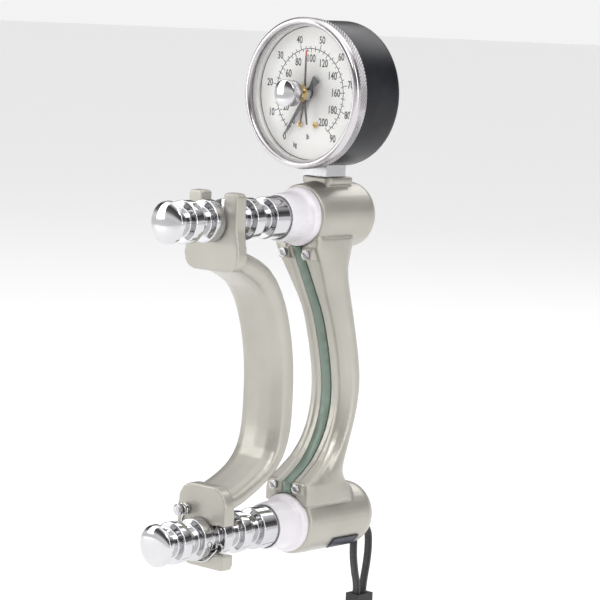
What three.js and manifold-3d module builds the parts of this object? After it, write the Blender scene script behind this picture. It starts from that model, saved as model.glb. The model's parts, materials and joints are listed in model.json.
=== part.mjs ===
// Hydraulic hand dynamometer with a five-position handle and a round dial gauge.
// Millimetres, +Z up. The gauge face and the post ends look along -Y, the palm presses along -Y
// on the back of the bow, and X runs across the hand. The origin is the palm point, the rearmost
// point of the bow's back.
import * as THREE from 'three';
import { mergeVertices } from 'three/addons/utils/BufferGeometryUtils.js';
import Module from 'manifold-3d';

// clearances
const gap = 0.3; // between pieces that touch in the real object
const slideGap = 0.4; // around pieces that move on each other

// posts
const postSpacing = 140; // between the two post axes
const palmDrop = 7; // the palm point lies this far below the middle of the posts
const postRadius = 9.45;
const grooveRadius = 6;
const grooveWidth = 7.3;
const groovePitch = 12.7; // one handle position to the next
const grooveCount = 5;
const firstShoulder = -112.7; // y of the shoulder behind the first groove
const postHeadLength = 1.1;
const postCrown = 2.2; // height of the polished crown on the post's end
const postTailY = -28.7; // y where the posts end inside the housings

const upperZ = postSpacing / 2 + palmDrop;
const lowerZ = -postSpacing / 2 + palmDrop;
const headBackY = firstShoulder - grooveWidth;
const headFrontY = headBackY - postHeadLength;

// housings and bow
const housingFrontY = -37.2;
const housingRadius = 15;
const housingWall = 2.8;
const upperHousingRearY = 0.6;
const lowerHousingRearY = 11;
const boreRearY = -12;
const bowHalfWidth = 13;
const bowFrontHalfWidth = 8.5;
const boreRadius = housingRadius - housingWall;

const padTopZ = upperZ + 17.8;
const padThickness = 3.5;
const padSize = 16.6;
const padY = -19.2;
const portRadius = 1.2;

const channelWidth = 5.6;
const landDepth = 2.2; // the square screw lands stand this far ahead of the housing rim
const landWidth = 6.4;
const landHeight = 5.4;
const landScrewX = 6.9;
const landScrewRadius = 2.1;

// bushings
const bushingLength = 15.2;
const bushingNoseRadius = 10.9;
const bushingRimRadius = 13.3;
const spigotLength = 2.2;

// yoke
const squeezeTravel = 1.5; // how far the handle, posts and yoke move when squeezed
const yokeThickness = channelWidth - 2 * gap;
const yokeDepth = 7;
const pinRadius = 1.75;
const tabDepth = 6;
const tabTop = 5.5; // the yoke's tabs rise this far past the post axis

// hydraulic cell
const pistonRadius = 8;
const pistonLength = 3;
const diaphragmRadius = 10.6;
const diaphragmThickness = 1.2;
const chamberDepth = 3.2;
const cellEndWall = 4;

// gauge
const caseRadius = 32.8;
const stemHeight = 4.6; // between the pad and the bottom of the case
const gaugeZ = padTopZ + stemHeight + caseRadius;
const bezelOverlap = 1.1;
const bezelRadius = caseRadius + bezelOverlap;
const bezelFrontY = -41;
const bezelRearY = -33.2;
const lensSeat = 2.2; // how far the window's edge stands inside the case's radius
const windowRadius = caseRadius - lensSeat;
const caseWall = 1.5;
const caseRearY = -8.6;
const caseCorner = 3.5;
const lensThickness = 1.8;
const gasketThickness = 0.8;
const dialFrontY = -33.9;
const dialThickness = 0.8;
const stemSize = 14;
const stemY = -21.6;
const stemTailRadius = 4.6;
const arborRadius = 0.7;
const scaleSweep = 290; // degrees from zero to full scale

const tubeInset = 6.3; // from the inside of the case to the middle of the Bourdon tube
const tubeRadius = caseRadius - caseWall - tubeInset;
const tubeRadialWidth = 3;
const tubeDepth = 7;
const pinionTeeth = 10;
const sectorTeeth = 72; // teeth of the whole wheel that the sector is cut from
const gearModule = 0.4;
const plateThickness = 1;
const framePlateGap = 8;

const knobRadius = 6;
const knobLength = 6.2;
const knobFrontY = -50.8;
const shaftRadius = 1.5;

// handle
const handleGroove = 3; // the groove that the handle sits in, counted from the post ends
const handlePlate = 6;
const forkHalfWidth = 14.4;
const forkSlotRadius = grooveRadius + slideGap;
const forkTop = 12.8; // above the upper post axis
const forkBottom = 21.8; // below the upper post axis
const jawDrop = 13; // below the lower post axis
const lowerPlateTop = 23.9; // above the lower post axis
const lowerPlateCorner = 9;
const gripHalfWidth = 12.8;
const gripHalfDepth = 6;
const armThinning = 1.9; // the lower arm's half depth is this much less than the bar's

// clip
const clipWire = 0.7;
const clipPivotX = -8.8;
const clipPivotLift = 11.8; // above the lower post axis
const clipCoilRadius = 2.3;
const clipCoilTurns = 4;
const clipCoilPitch = 0.95;
const clipArcRadius = 10.3;
const clipEyeRadius = 1.9;
const clipEyeX = 12.4;
const clipEyeDrop = 2.4; // below the lower post axis

// strap
const cordWidth = 3.8;
const cordThickness = 2.2;

// helpers
const wasm = await Module();
wasm.setup();

const object = new THREE.Group();

function plain(geometry) {
  const copy = geometry.clone();
  copy.deleteAttribute('normal');
  copy.deleteAttribute('uv');
  return mergeVertices(copy, 1e-4);
}

function signedVolume(geometry) {
  const position = geometry.attributes.position;
  const index = geometry.index;
  const a = new THREE.Vector3();
  const b = new THREE.Vector3();
  const c = new THREE.Vector3();
  let sum = 0;
  for (let i = 0; i < index.count; i += 3) {
    a.fromBufferAttribute(position, index.getX(i));
    b.fromBufferAttribute(position, index.getX(i + 1));
    c.fromBufferAttribute(position, index.getX(i + 2));
    sum += a.dot(b.cross(c)) / 6;
  }
  return sum;
}

function outward(geometry) {
  const merged = plain(geometry);
  if (signedVolume(merged) < 0) {
    const index = merged.index.array;
    for (let i = 0; i < index.length; i += 3) {
      const first = index[i];
      index[i] = index[i + 1];
      index[i + 1] = first;
    }
  }
  return merged;
}

function solid(geometry) {
  const merged = outward(geometry);
  return new wasm.Manifold(new wasm.Mesh({
    numProp: 3,
    vertProperties: new Float32Array(merged.attributes.position.array),
    triVerts: new Uint32Array(merged.index.array),
  }));
}

function toGeometry(body) {
  const mesh = body.getMesh();
  const geometry = new THREE.BufferGeometry();
  geometry.setAttribute('position', new THREE.BufferAttribute(new Float32Array(mesh.vertProperties), 3));
  geometry.setIndex(new THREE.BufferAttribute(new Uint32Array(mesh.triVerts), 1));
  return geometry;
}

function join(...bodies) {
  return bodies.reduce((whole, next) => whole.add(next));
}

function cut(body, ...tools) {
  return tools.reduce((whole, tool) => whole.subtract(tool), body);
}

// A ring of revolution about the Y direction through (x, z), from [radius, y] points.
function turned(profile, x, z, segments = 40) {
  const points = profile.map(([radius, y]) => new THREE.Vector2(radius, y));
  const geometry = new THREE.LatheGeometry(points, segments);
  geometry.translate(x, 0, z);
  return geometry;
}

function rod(radius, yFront, yRear, x, z, segments = 24) {
  return turned([[0, yFront], [radius, yFront], [radius, yRear], [0, yRear]], x, z, segments);
}

function tube(inner, outer, yFront, yRear, x, z, segments = 32) {
  return turned([[inner, yFront], [outer, yFront], [outer, yRear], [inner, yRear], [inner, yFront]],
    x, z, segments);
}

// A plate with an outline in the XZ plane, between two y values.
function plateXZ(shape, yFront, yRear, curveSegments = 12) {
  const geometry = new THREE.ExtrudeGeometry(shape, {
    depth: yRear - yFront, bevelEnabled: false, curveSegments, steps: 1,
  });
  geometry.rotateX(Math.PI / 2);
  geometry.translate(0, yRear, 0);
  return geometry;
}

// A plate with an outline in the YZ plane, centred on X = 0.
function plateYZ(shape, width, curveSegments = 12) {
  const geometry = new THREE.ExtrudeGeometry(shape, {
    depth: width, bevelEnabled: false, curveSegments, steps: 1,
  });
  geometry.translate(0, 0, -width / 2);
  geometry.rotateY(Math.PI / 2);
  geometry.rotateX(Math.PI / 2);
  return geometry;
}

function block(xSize, ySize, zSize, x, y, z) {
  const geometry = new THREE.BoxGeometry(xSize, ySize, zSize);
  geometry.translate(x, y, z);
  return geometry;
}

function polygon(points) {
  return new THREE.Shape(points.map(([a, b]) => new THREE.Vector2(a, b)));
}

// A closed skin over rings of equal point count, with flat ends.
function loft(rings) {
  const count = rings[0].length;
  const positions = [];
  const index = [];
  for (const ring of rings) {
    for (const point of ring) positions.push(point.x, point.y, point.z);
  }
  for (let r = 0; r < rings.length - 1; r += 1) {
    for (let i = 0; i < count; i += 1) {
      const a = r * count + i;
      const b = r * count + (i + 1) % count;
      index.push(a, b, b + count);
      index.push(a, b + count, a + count);
    }
  }
  for (const [start, flip] of [[0, true], [(rings.length - 1) * count, false]]) {
    for (let i = 1; i < count - 1; i += 1) {
      if (flip) index.push(start, start + i + 1, start + i);
      else index.push(start, start + i, start + i + 1);
    }
  }
  const geometry = new THREE.BufferGeometry();
  geometry.setAttribute('position', new THREE.BufferAttribute(new Float32Array(positions), 3));
  geometry.setIndex(index);
  return geometry;
}

// A wire or cord with a flat-sided round section swept along a curve.
function swept(curve, width, thickness, steps, sides = 8) {
  const section = new THREE.Shape();
  for (let i = 0; i < sides; i += 1) {
    const angle = 2 * Math.PI * (i + 0.5) / sides;
    const reach = 1 / Math.cos(Math.PI / sides);
    const x = Math.cos(angle) * reach * width / 2;
    const y = Math.sin(angle) * reach * thickness / 2;
    if (i === 0) section.moveTo(x, y);
    else section.lineTo(x, y);
  }
  section.closePath();
  return new THREE.ExtrudeGeometry(section, { extrudePath: curve, steps, bevelEnabled: false });
}

function finish(colour, roughness, metalness) {
  return new THREE.MeshStandardMaterial({ color: colour, roughness, metalness });
}

function place(name, geometry, material) {
  const mesh = new THREE.Mesh(geometry, material);
  mesh.name = name;
  object.add(mesh);
}

const castPaint = finish(0xb9b8b0, 0.45, 0.6);
const chrome = finish(0xdadde2, 0.08, 1);
const nylon = finish(0xd9d6d9, 0.5, 0);
const greenPaint = finish(0x61796c, 0.5, 0.3);
const steel = finish(0x9c9fa3, 0.3, 1);
const brass = finish(0xb4934e, 0.3, 1);
const blackEnamel = finish(0x17181b, 0.35, 0.1);
const clearPlastic = finish(0xe8eef2, 0.05, 0);
const dialWhite = finish(0xf0efe9, 0.6, 0);
const blackRubber = finish(0x1b1b1c, 0.8, 0);
const blackBraid = finish(0x141417, 0.9, 0);
const redPaint = finish(0xb8352b, 0.5, 0);
const labelBlack = finish(0x2a2b33, 0.5, 0);

// yoke and channel
// Front line of the bow in the YZ plane, from the upper housing to the lower one.
const bowFront = new THREE.SplineCurve([
  new THREE.Vector2(housingFrontY - landDepth + 1, upperZ - 14),
  new THREE.Vector2(-29.4, 46),
  new THREE.Vector2(-20.5, 27),
  new THREE.Vector2(-14.3, 0),
  new THREE.Vector2(-16.3, -19.5),
  new THREE.Vector2(-26, -35.5),
  new THREE.Vector2(housingFrontY - landDepth + 1, lowerZ + 19),
]);

function frontLine(z) {
  let low = 0;
  let high = 1;
  for (let i = 0; i < 30; i += 1) {
    const middle = (low + high) / 2;
    if (bowFront.getPoint(middle).y > z) low = middle;
    else high = middle;
  }
  return bowFront.getPoint(low).x;
}

const tabFrontY = postTailY - tabDepth;
const bushingReach = Math.max(bushingRimRadius, boreRadius); // the yoke ends clear of rim and spigot
const yokeTopZ = upperZ - bushingReach - gap;
const yokeBottomZ = lowerZ + bushingReach + gap;

// Side outline of the yoke beam between two heights, moved back at its rear edge by extraRear.
function yokeOutline(top, bottom, extraRear, frontLimit) {
  const samples = 44;
  const front = [];
  const back = [];
  for (let i = 0; i <= samples; i += 1) {
    const z = top + (bottom - top) * i / samples;
    const y = frontLine(Math.min(Math.max(z, lowerZ + 19), upperZ - 14));
    front.push([Math.min(y, frontLimit), z]);
    back.unshift([Math.max(y + yokeDepth, tabFrontY + tabDepth / 2) + extraRear, z]);
  }
  return polygon([...front, ...back]);
}

function yokeSolid() {
  const beam = solid(plateYZ(yokeOutline(yokeTopZ, yokeBottomZ, 0, 0), yokeThickness));
  const upperTab = solid(block(yokeThickness, tabDepth - gap, upperZ + tabTop - yokeTopZ + 3,
    0, tabFrontY + tabDepth / 2, (upperZ + tabTop + yokeTopZ - 3) / 2));
  const lowerTab = solid(block(yokeThickness, tabDepth - gap, yokeBottomZ + 3 - lowerZ + tabTop,
    0, tabFrontY + tabDepth / 2, (yokeBottomZ + 3 + lowerZ - tabTop) / 2));
  return join(beam, upperTab, lowerTab);
}

function crossPin(z, radius, length) {
  const geometry = new THREE.CylinderGeometry(radius, radius, length, 20);
  geometry.rotateZ(Math.PI / 2);
  geometry.translate(0, tabFrontY + tabDepth / 2, z);
  return solid(geometry);
}

const crossDrill = 40;
const yoke = cut(yokeSolid(), crossPin(upperZ, pinRadius + gap, crossDrill),
  crossPin(lowerZ, pinRadius + gap, crossDrill));
place('yoke_beam', toGeometry(yoke), greenPaint);

// posts
function post(z) {
  const profile = [[0, headFrontY - postCrown]];
  const crownSteps = 3;
  for (let i = 1; i <= crownSteps; i += 1) {
    const angle = Math.PI / 2 * i / crownSteps;
    profile.push([postRadius * Math.sin(angle), headFrontY - postCrown * Math.cos(angle)]);
  }
  for (let i = 0; i < grooveCount; i += 1) {
    const shoulder = firstShoulder + i * groovePitch;
    profile.push([postRadius, shoulder - grooveWidth]);
    profile.push([grooveRadius, shoulder - grooveWidth]);
    profile.push([grooveRadius, shoulder]);
    profile.push([postRadius, shoulder]);
  }
  profile.push([postRadius, postTailY]);
  profile.push([0, postTailY]);
  const slot = block(yokeThickness + 2 * gap, tabDepth + 1 + gap, 2 * postRadius + 4,
    0, tabFrontY - gap + (tabDepth + 1 + gap) / 2, z);
  return cut(solid(turned(profile, 0, z, 28)), solid(slot), crossPin(z, pinRadius + gap, crossDrill));
}

for (const [side, z] of [['upper', upperZ], ['lower', lowerZ]]) {
  place(`${side}_post`, toGeometry(post(z)), chrome);
  place(`${side}_post_pin`, toGeometry(crossPin(z, pinRadius, 2 * postRadius - 2)), steel);
}

// body casting
// Rear line of the bow, from inside the upper housing to inside the lower one.
const bowRear = new THREE.SplineCurve([
  new THREE.Vector2(-5.5, upperZ - 8),
  new THREE.Vector2(-8.5, upperZ - 17),
  new THREE.Vector2(-10.6, upperZ - 26),
  new THREE.Vector2(-5.6, 30),
  new THREE.Vector2(0, 0),
  new THREE.Vector2(-5.9, -27),
  new THREE.Vector2(-8.6, lowerZ + 26),
  new THREE.Vector2(-6.4, lowerZ + 20),
  new THREE.Vector2(-1, lowerZ + 15),
  new THREE.Vector2(3, lowerZ + 8),
]);

function rearLine(z) {
  let low = 0;
  let high = 1;
  for (let i = 0; i < 30; i += 1) {
    const middle = (low + high) / 2;
    if (bowRear.getPoint(middle).y > z) low = middle;
    else high = middle;
  }
  return bowRear.getPoint(low).x;
}

function smooth(from, to, value) {
  const t = Math.min(Math.max((value - from) / (to - from), 0), 1);
  return t * t * (3 - 2 * t);
}

// One level cut through the bow: narrow flat front, flared sides and a round back.
function bowRing(z) {
  const clamped = Math.min(Math.max(z, lowerZ + 19), upperZ - 14);
  const front = frontLine(clamped);
  const rear = rearLine(z);
  const spread = Math.max(smooth(upperZ - 45, upperZ - 12, z), smooth(lowerZ + 40, lowerZ + 12, z));
  const frontHalf = bowFrontHalfWidth + 4.3 * spread;
  const half = bowHalfWidth + (housingRadius - 0.4 - bowHalfWidth) * spread;
  const depth = rear - front;
  const right = [
    [frontHalf, front],
    [frontHalf + (half - frontHalf) * 0.45, front + depth * 0.12],
    [half - (half - frontHalf) * 0.12, front + depth * 0.33],
  ];
  const roundStart = rear - depth * 0.5;
  for (let i = 0; i <= 6; i += 1) {
    const angle = Math.PI / 2 * i / 6;
    right.push([half * Math.cos(angle), roundStart + (rear - roundStart) * Math.sin(angle)]);
  }
  const left = right.slice(0, -1).reverse().map(([x, y]) => [-x, y]);
  return [...right, ...left].map(([x, y]) => new THREE.Vector3(x, y, z));
}

function bow() {
  const rings = [];
  const top = upperZ - 9;
  const bottom = lowerZ + 9;
  const levels = 26;
  for (let i = 0; i <= levels; i += 1) rings.push(bowRing(top + (bottom - top) * i / levels));
  return solid(loft(rings));
}

function housing(z, rearY, cornerRadius) {
  const rimRadius = housingRadius - 0.4;
  const profile = [[0, housingFrontY], [rimRadius - 0.5, housingFrontY], [rimRadius, housingFrontY + 0.5],
    [housingRadius, housingFrontY + 5]];
  const steps = 6;
  for (let i = 0; i <= steps; i += 1) {
    const angle = Math.PI / 2 * i / steps;
    profile.push([housingRadius - cornerRadius + cornerRadius * Math.cos(angle),
      rearY - cornerRadius + cornerRadius * Math.sin(angle)]);
  }
  profile.push([0, rearY]);
  return solid(turned(profile, 0, z, 36));
}

function screwLand(sign, z) {
  return solid(block(landWidth, landDepth + 4, landHeight, sign * landScrewX,
    housingFrontY - landDepth + (landDepth + 4) / 2, z));
}

const upperLandZ = upperZ - housingRadius - landHeight / 2 + 1;
const lowerLandZ = lowerZ + housingRadius + landHeight / 2 - 1;

function pad() {
  const plate = polygon([
    [-padSize / 2, -padSize / 2], [padSize / 2 - 1.5, -padSize / 2], [padSize / 2, 1.5 - padSize / 2],
    [padSize / 2, padSize / 2], [-padSize / 2, padSize / 2],
  ]);
  const top = new THREE.ExtrudeGeometry(plate, { depth: padThickness, bevelEnabled: false });
  top.translate(0, padY, padTopZ - padThickness);
  const neck = block(padSize - 3, padSize - 3, padTopZ - 1 - upperZ - boreRadius,
    0, padY, (padTopZ - 1 + upperZ + boreRadius) / 2);
  return join(solid(top), solid(neck));
}

function verticalHole(radius, zLow, zHigh, x, y) {
  const geometry = new THREE.CylinderGeometry(radius, radius, zHigh - zLow, 24);
  geometry.rotateX(Math.PI / 2);
  geometry.translate(x, y, (zLow + zHigh) / 2);
  return solid(geometry);
}

const cordHoleX = 5;
const cordHoleRadius = cordWidth / 2 + gap;
const cordHoleY = 4.6; // the strap comes up here and leaves through the housing's rear end
const cordRearZ = lowerZ - 6;

function casting() {
  const shell = join(bow(), housing(upperZ, upperHousingRearY, 4.5), housing(lowerZ, lowerHousingRearY, 9),
    pad(), screwLand(1, upperLandZ), screwLand(-1, upperLandZ), screwLand(1, lowerLandZ),
    screwLand(-1, lowerLandZ));
  const bores = [upperZ, lowerZ].map((z) => solid(rod(boreRadius, housingFrontY - 10, boreRearY, 0, z, 36)));
  const channel = solid(plateYZ(yokeOutline(upperZ - boreRadius + 3, lowerZ + boreRadius - 3,
    squeezeTravel + 3 * gap, housingFrontY - 30), channelWidth));
  const tabPassage = solid(block(channelWidth, tabDepth + squeezeTravel + 2 * gap,
    upperZ - lowerZ, 0, tabFrontY + (tabDepth + squeezeTravel) / 2, palmDrop));
  const tabSlots = tabPassage.subtract(solid(block(channelWidth + 2, 3 * tabDepth,
    yokeTopZ - yokeBottomZ - 6 - 2 * gap, 0, tabFrontY, palmDrop)));
  const noseClear = [upperZ, lowerZ].map((z) => solid(rod(bushingRimRadius + gap,
    housingFrontY - 12, housingFrontY, 0, z, 36)));
  const tail = verticalHole(stemTailRadius + gap, upperZ + boreRadius - 1, padTopZ + 5, 0, stemY);
  const strapHoles = [
    verticalHole(cordHoleRadius, lowerZ - 25, cordRearZ, cordHoleX, cordHoleY),
    solid(rod(cordHoleRadius, cordHoleY - cordHoleRadius, lowerHousingRearY + 5, cordHoleX, cordRearZ, 20)),
  ];
  const screwHoles = [];
  for (const sign of [1, -1]) {
    for (const z of [upperLandZ, lowerLandZ]) {
      screwHoles.push(solid(rod(landScrewRadius * 0.5 + gap, housingFrontY - landDepth - 1,
        housingFrontY + 5, sign * landScrewX, z, 16)));
    }
  }
  return cut(shell, ...bores, channel, tabSlots, ...noseClear, tail, ...strapHoles, ...screwHoles);
}

place('body_casting', toGeometry(casting()), castPaint);

// land screws
for (const [level, z] of [['upper', upperLandZ], ['lower', lowerLandZ]]) {
  for (const [side, sign] of [['left', -1], ['right', 1]]) {
    const faceY = housingFrontY - landDepth;
    const profile = [[0, faceY - 1.1], [landScrewRadius * 0.75, faceY - 1.1], [landScrewRadius, faceY - 0.5],
      [landScrewRadius, faceY - gap], [landScrewRadius * 0.5, faceY - gap],
      [landScrewRadius * 0.5, housingFrontY + 4.6], [0, housingFrontY + 4.6]];
    place(`${level}_land_screw_${side}`, turned(profile, sign * landScrewX, z, 20), steel);
  }
}

// bushings
function bushing(z) {
  const inner = postRadius + slideGap;
  const front = housingFrontY - gap - bushingLength;
  const profile = [[inner, front], [bushingNoseRadius - 0.5, front], [bushingNoseRadius, front + 0.6]];
  const steps = 5;
  for (let i = 1; i <= steps; i += 1) {
    const t = i / steps;
    profile.push([bushingNoseRadius + (bushingRimRadius - bushingNoseRadius) * Math.sin(t * Math.PI / 2),
      front + 0.6 + (bushingLength - 0.6) * t]);
  }
  profile.push([boreRadius - gap, housingFrontY - gap]);
  profile.push([boreRadius - gap, housingFrontY - gap + spigotLength]);
  profile.push([inner, housingFrontY - gap + spigotLength]);
  profile.push([inner, front]);
  return turned(profile, 0, z, 32);
}

// The spigot stops short of the yoke, which passes behind it.
place('upper_bushing', bushing(upperZ), nylon);
place('lower_bushing', bushing(lowerZ), nylon);

// hydraulic cell
const pistonFrontY = postTailY + gap;
const pistonRearY = pistonFrontY + pistonLength;
const diaphragmFrontY = pistonRearY + squeezeTravel + gap;
const diaphragmRearY = diaphragmFrontY + diaphragmThickness;
const seatFrontY = diaphragmFrontY - gap;
const chamberFrontY = diaphragmRearY + gap;
const chamberRearY = chamberFrontY + chamberDepth;
const cellFrontY = postTailY + squeezeTravel + gap;

place('piston', rod(pistonRadius, pistonFrontY, pistonRearY, 0, upperZ, 32), steel);
place('diaphragm', rod(diaphragmRadius, diaphragmFrontY, diaphragmRearY, 0, upperZ, 32), blackRubber);

function hydraulicCell() {
  const outer = boreRadius - gap;
  const profile = [[outer, cellFrontY], [outer, chamberRearY + cellEndWall], [0, chamberRearY + cellEndWall],
    [0, chamberRearY], [diaphragmRadius - 2, chamberRearY], [diaphragmRadius - 2, chamberFrontY],
    [diaphragmRadius + gap, chamberFrontY], [diaphragmRadius + gap, seatFrontY],
    [pistonRadius + slideGap, seatFrontY], [pistonRadius + slideGap, cellFrontY],
    [outer, cellFrontY]];
  const port = verticalHole(portRadius, upperZ + 4, upperZ + boreRadius + 5, 0,
    (chamberFrontY + chamberRearY) / 2);
  return cut(solid(turned(profile, 0, upperZ, 36)), port);
}

place('hydraulic_cell', toGeometry(hydraulicCell()), steel);

// gauge stem
const caseBottomZ = gaugeZ - caseRadius;
const stemTopZ = gaugeZ - tubeRadius + tubeRadialWidth / 2 + 3;

function gaugeStem() {
  const square = solid(block(stemSize, stemSize - 1, caseBottomZ + 3 - padTopZ - gap, 0, stemY,
    (caseBottomZ + 3 + padTopZ + gap) / 2));
  const head = solid(block(stemSize - 3, tubeDepth + 1, stemTopZ - caseBottomZ - 1, 0, stemY,
    (stemTopZ + caseBottomZ + 1) / 2));
  const tail = verticalHole(stemTailRadius, upperZ + boreRadius + gap, padTopZ + 2, 0, stemY);
  const passage = verticalHole(portRadius, upperZ + boreRadius - 2, stemTopZ - 4, 0, stemY);
  return cut(join(square, head, tail), passage);
}

place('gauge_stem', toGeometry(gaugeStem()), steel);

// gauge case and front
const lensFrontY = bezelFrontY + 1.3;
const lensRearY = lensFrontY + lensThickness;
const gasketFrontY = lensRearY + gap;
const caseFrontY = gasketFrontY + gasketThickness + gap;
const threadRadius = caseRadius - 0.9;

function gaugeCase() {
  const inner = threadRadius - caseWall;
  const profile = [[inner, caseFrontY], [threadRadius, caseFrontY], [threadRadius, bezelRearY + gap],
    [caseRadius, bezelRearY + gap]];
  const steps = 4;
  for (let i = 0; i <= steps; i += 1) {
    const angle = Math.PI / 2 * i / steps;
    profile.push([caseRadius - caseCorner + caseCorner * Math.cos(angle),
      caseRearY - caseCorner + caseCorner * Math.sin(angle)]);
  }
  profile.push([0, caseRearY], [0, caseRearY - caseWall], [inner, caseRearY - caseWall], [inner, caseFrontY]);
  const stemHole = solid(block(stemSize + 2 * gap, stemSize - 1 + 2 * gap, 12, 0, stemY, caseBottomZ));
  return cut(solid(turned(profile, 0, gaugeZ, 48)), stemHole);
}

place('gauge_case', toGeometry(gaugeCase()), blackEnamel);

const lensRadius = threadRadius - 0.4;

const bezelInner = threadRadius + gap;
place('bezel_ring', turned([[windowRadius, bezelFrontY + 0.6], [windowRadius + 0.8, bezelFrontY],
  [bezelRadius - 1.2, bezelFrontY], [bezelRadius, bezelFrontY + 1.2], [bezelRadius, bezelRearY],
  [bezelInner, bezelRearY], [bezelInner, bezelFrontY + 1], [windowRadius, bezelFrontY + 1],
  [windowRadius, bezelFrontY + 0.6]], 0, gaugeZ, 48), chrome);
place('gauge_lens', tube(shaftRadius + 1.6 + gap, lensRadius, lensFrontY, lensRearY, 0, gaugeZ, 48),
  clearPlastic);
place('lens_gasket', tube(lensRadius - 1.6, lensRadius, gasketFrontY, gasketFrontY + gasketThickness,
  0, gaugeZ, 40), blackRubber);

// The bush that the reset shaft turns in, clamped in the middle of the lens.
place('lens_bush', turned([[shaftRadius + gap, lensFrontY - 1.4], [shaftRadius + 2.6, lensFrontY - 1.4],
  [shaftRadius + 2.6, lensFrontY - gap], [shaftRadius + 1.6, lensFrontY - gap],
  [shaftRadius + 1.6, lensRearY], [shaftRadius + gap, lensRearY], [shaftRadius + gap, lensFrontY - 1.4]],
0, gaugeZ, 24), brass);

const dialScrewSpread = 4.6;
const dialScrewDrop = 14;
const dialRearY = dialFrontY + dialThickness;

function dialPlate() {
  const disc = solid(tube(2.2, windowRadius - 0.9, dialFrontY, dialRearY, 0, gaugeZ, 48));
  const holes = [-1, 1].map((sign) => solid(rod(0.8 + gap, dialFrontY - 1, dialRearY + 1,
    sign * dialScrewSpread, gaugeZ - dialScrewDrop, 16)));
  return cut(disc, ...holes);
}

place('dial_plate', toGeometry(dialPlate()), dialWhite);

// gauge movement
const pointerY = dialFrontY - 1.5;
const frameFrontY = dialRearY + 2.4;
const frameRearY = frameFrontY + plateThickness + framePlateGap;
const pinionRadius = gearModule * pinionTeeth / 2;
const sectorRadius = gearModule * sectorTeeth / 2;
const gearDistance = pinionRadius + sectorRadius;
const pivotX = gearDistance * Math.SQRT1_2;
const pivotZ = gaugeZ - gearDistance * Math.SQRT1_2;

for (const [side, sign] of [['left', -1], ['right', 1]]) {
  const profile = [[0, dialFrontY - 0.9], [1.1, dialFrontY - 0.9], [1.6, dialFrontY - 0.4],
    [1.6, dialFrontY - gap], [0.8, dialFrontY - gap], [0.8, frameFrontY - gap], [0, frameFrontY - gap]];
  place(`dial_screw_${side}`, turned(profile, sign * dialScrewSpread, gaugeZ - dialScrewDrop, 16), brass);
}

function movementFrame() {
  const outline = polygon([[17, -16], [-7, -16], [-7, 5], [5, 5], [17, -4]]);
  const plates = [frameFrontY, frameRearY].map((y) => {
    const geometry = plateXZ(outline, y, y + plateThickness);
    geometry.translate(0, 0, gaugeZ);
    return solid(geometry);
  });
  const pillars = [[-5, 3], [-5, -14]].map(([x, z]) => solid(rod(1.3,
    frameFrontY + 0.2, frameRearY + 0.4, x, gaugeZ + z, 12)));
  const bearings = [[0, gaugeZ], [pivotX, pivotZ]].map(([x, z]) => solid(rod(arborRadius + gap,
    frameFrontY - 3, frameRearY + 3, x, z, 16)));
  const foot = solid(block(2.6, frameRearY - frameFrontY, 4.4,
    -5.2, (frameRearY + frameFrontY + plateThickness) / 2, gaugeZ - 15));
  return cut(join(...plates, ...pillars, foot), ...bearings);
}

place('movement_frame', toGeometry(movementFrame()), brass);

// Teeth with plain sloping flanks; the low ones leave backlash all round.
function toothed(teeth, radius, first, last, rootFill) {
  const pitch = 2 * Math.PI / teeth;
  const outer = radius + gearModule * 0.62;
  const root = radius - gearModule * 0.95;
  const points = [];
  for (let i = first; i <= last; i += 1) {
    const middle = i * pitch;
    for (const [offset, r] of [[-0.33, root], [-0.1, outer], [0.1, outer], [0.33, root]]) {
      points.push([Math.cos(middle + offset * pitch) * r, Math.sin(middle + offset * pitch) * r]);
    }
  }
  return [...points, ...rootFill];
}

const gearY = frameFrontY + plateThickness + 1.6;
const gearWidth = 1.6;

function pinionArbor() {
  const meshAngle = Math.atan2(pivotZ - gaugeZ, pivotX);
  const shape = polygon(toothed(pinionTeeth, pinionRadius, 0, pinionTeeth - 1, []));
  const gear = plateXZ(shape, gearY, gearY + gearWidth);
  gear.rotateY(-(meshAngle + Math.PI / pinionTeeth));
  gear.translate(0, 0, gaugeZ);
  const shaft = rod(arborRadius, pointerY - 0.5, frameRearY + plateThickness + 0.6, 0, gaugeZ, 16);
  return join(solid(gear), solid(shaft));
}

place('pinion_arbor', toGeometry(pinionArbor()), brass);

// At rest the sector stands four teeth short of its middle, and it turns through eight.
const tailLength = 5;
const sectorHalfTeeth = 6;
const restTeeth = 4;
const restAngle = Math.atan2(gaugeZ - pivotZ, -pivotX) - 2 * Math.PI / sectorTeeth * restTeeth;

function sectorGear() {
  const sideAngle = 2 * Math.PI / sectorTeeth * (sectorHalfTeeth + 0.6);
  const shape = polygon(toothed(sectorTeeth, sectorRadius, -sectorHalfTeeth, sectorHalfTeeth, [
    [Math.cos(sideAngle) * 2.4, 2.2], [0, 2.2], [-tailLength - 1.4, 1.3], [-tailLength - 1.4, -1.3],
    [0, -2.2], [Math.cos(sideAngle) * 2.4, -2.2]]));
  const plate = plateXZ(shape, gearY, gearY + gearWidth * 0.8);
  plate.rotateY(-restAngle);
  plate.translate(pivotX, 0, pivotZ);
  const axle = rod(arborRadius, frameFrontY - 0.5, frameRearY + plateThickness + 0.5, pivotX, pivotZ, 16);
  const pin = tailPin();
  return join(solid(plate), solid(axle), pin);
}

const tailX = pivotX - tailLength * Math.cos(restAngle);
const tailZ = pivotZ - tailLength * Math.sin(restAngle);
const linkPinRadius = 0.5;
const linkFrontY = gearY + gearWidth + 0.5;
const linkThickness = 0.8;

function tailPin() {
  return solid(rod(linkPinRadius, gearY + 0.4, linkFrontY + linkThickness + 0.3, tailX, tailZ, 12));
}

place('sector_gear', toGeometry(sectorGear()), brass);

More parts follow.
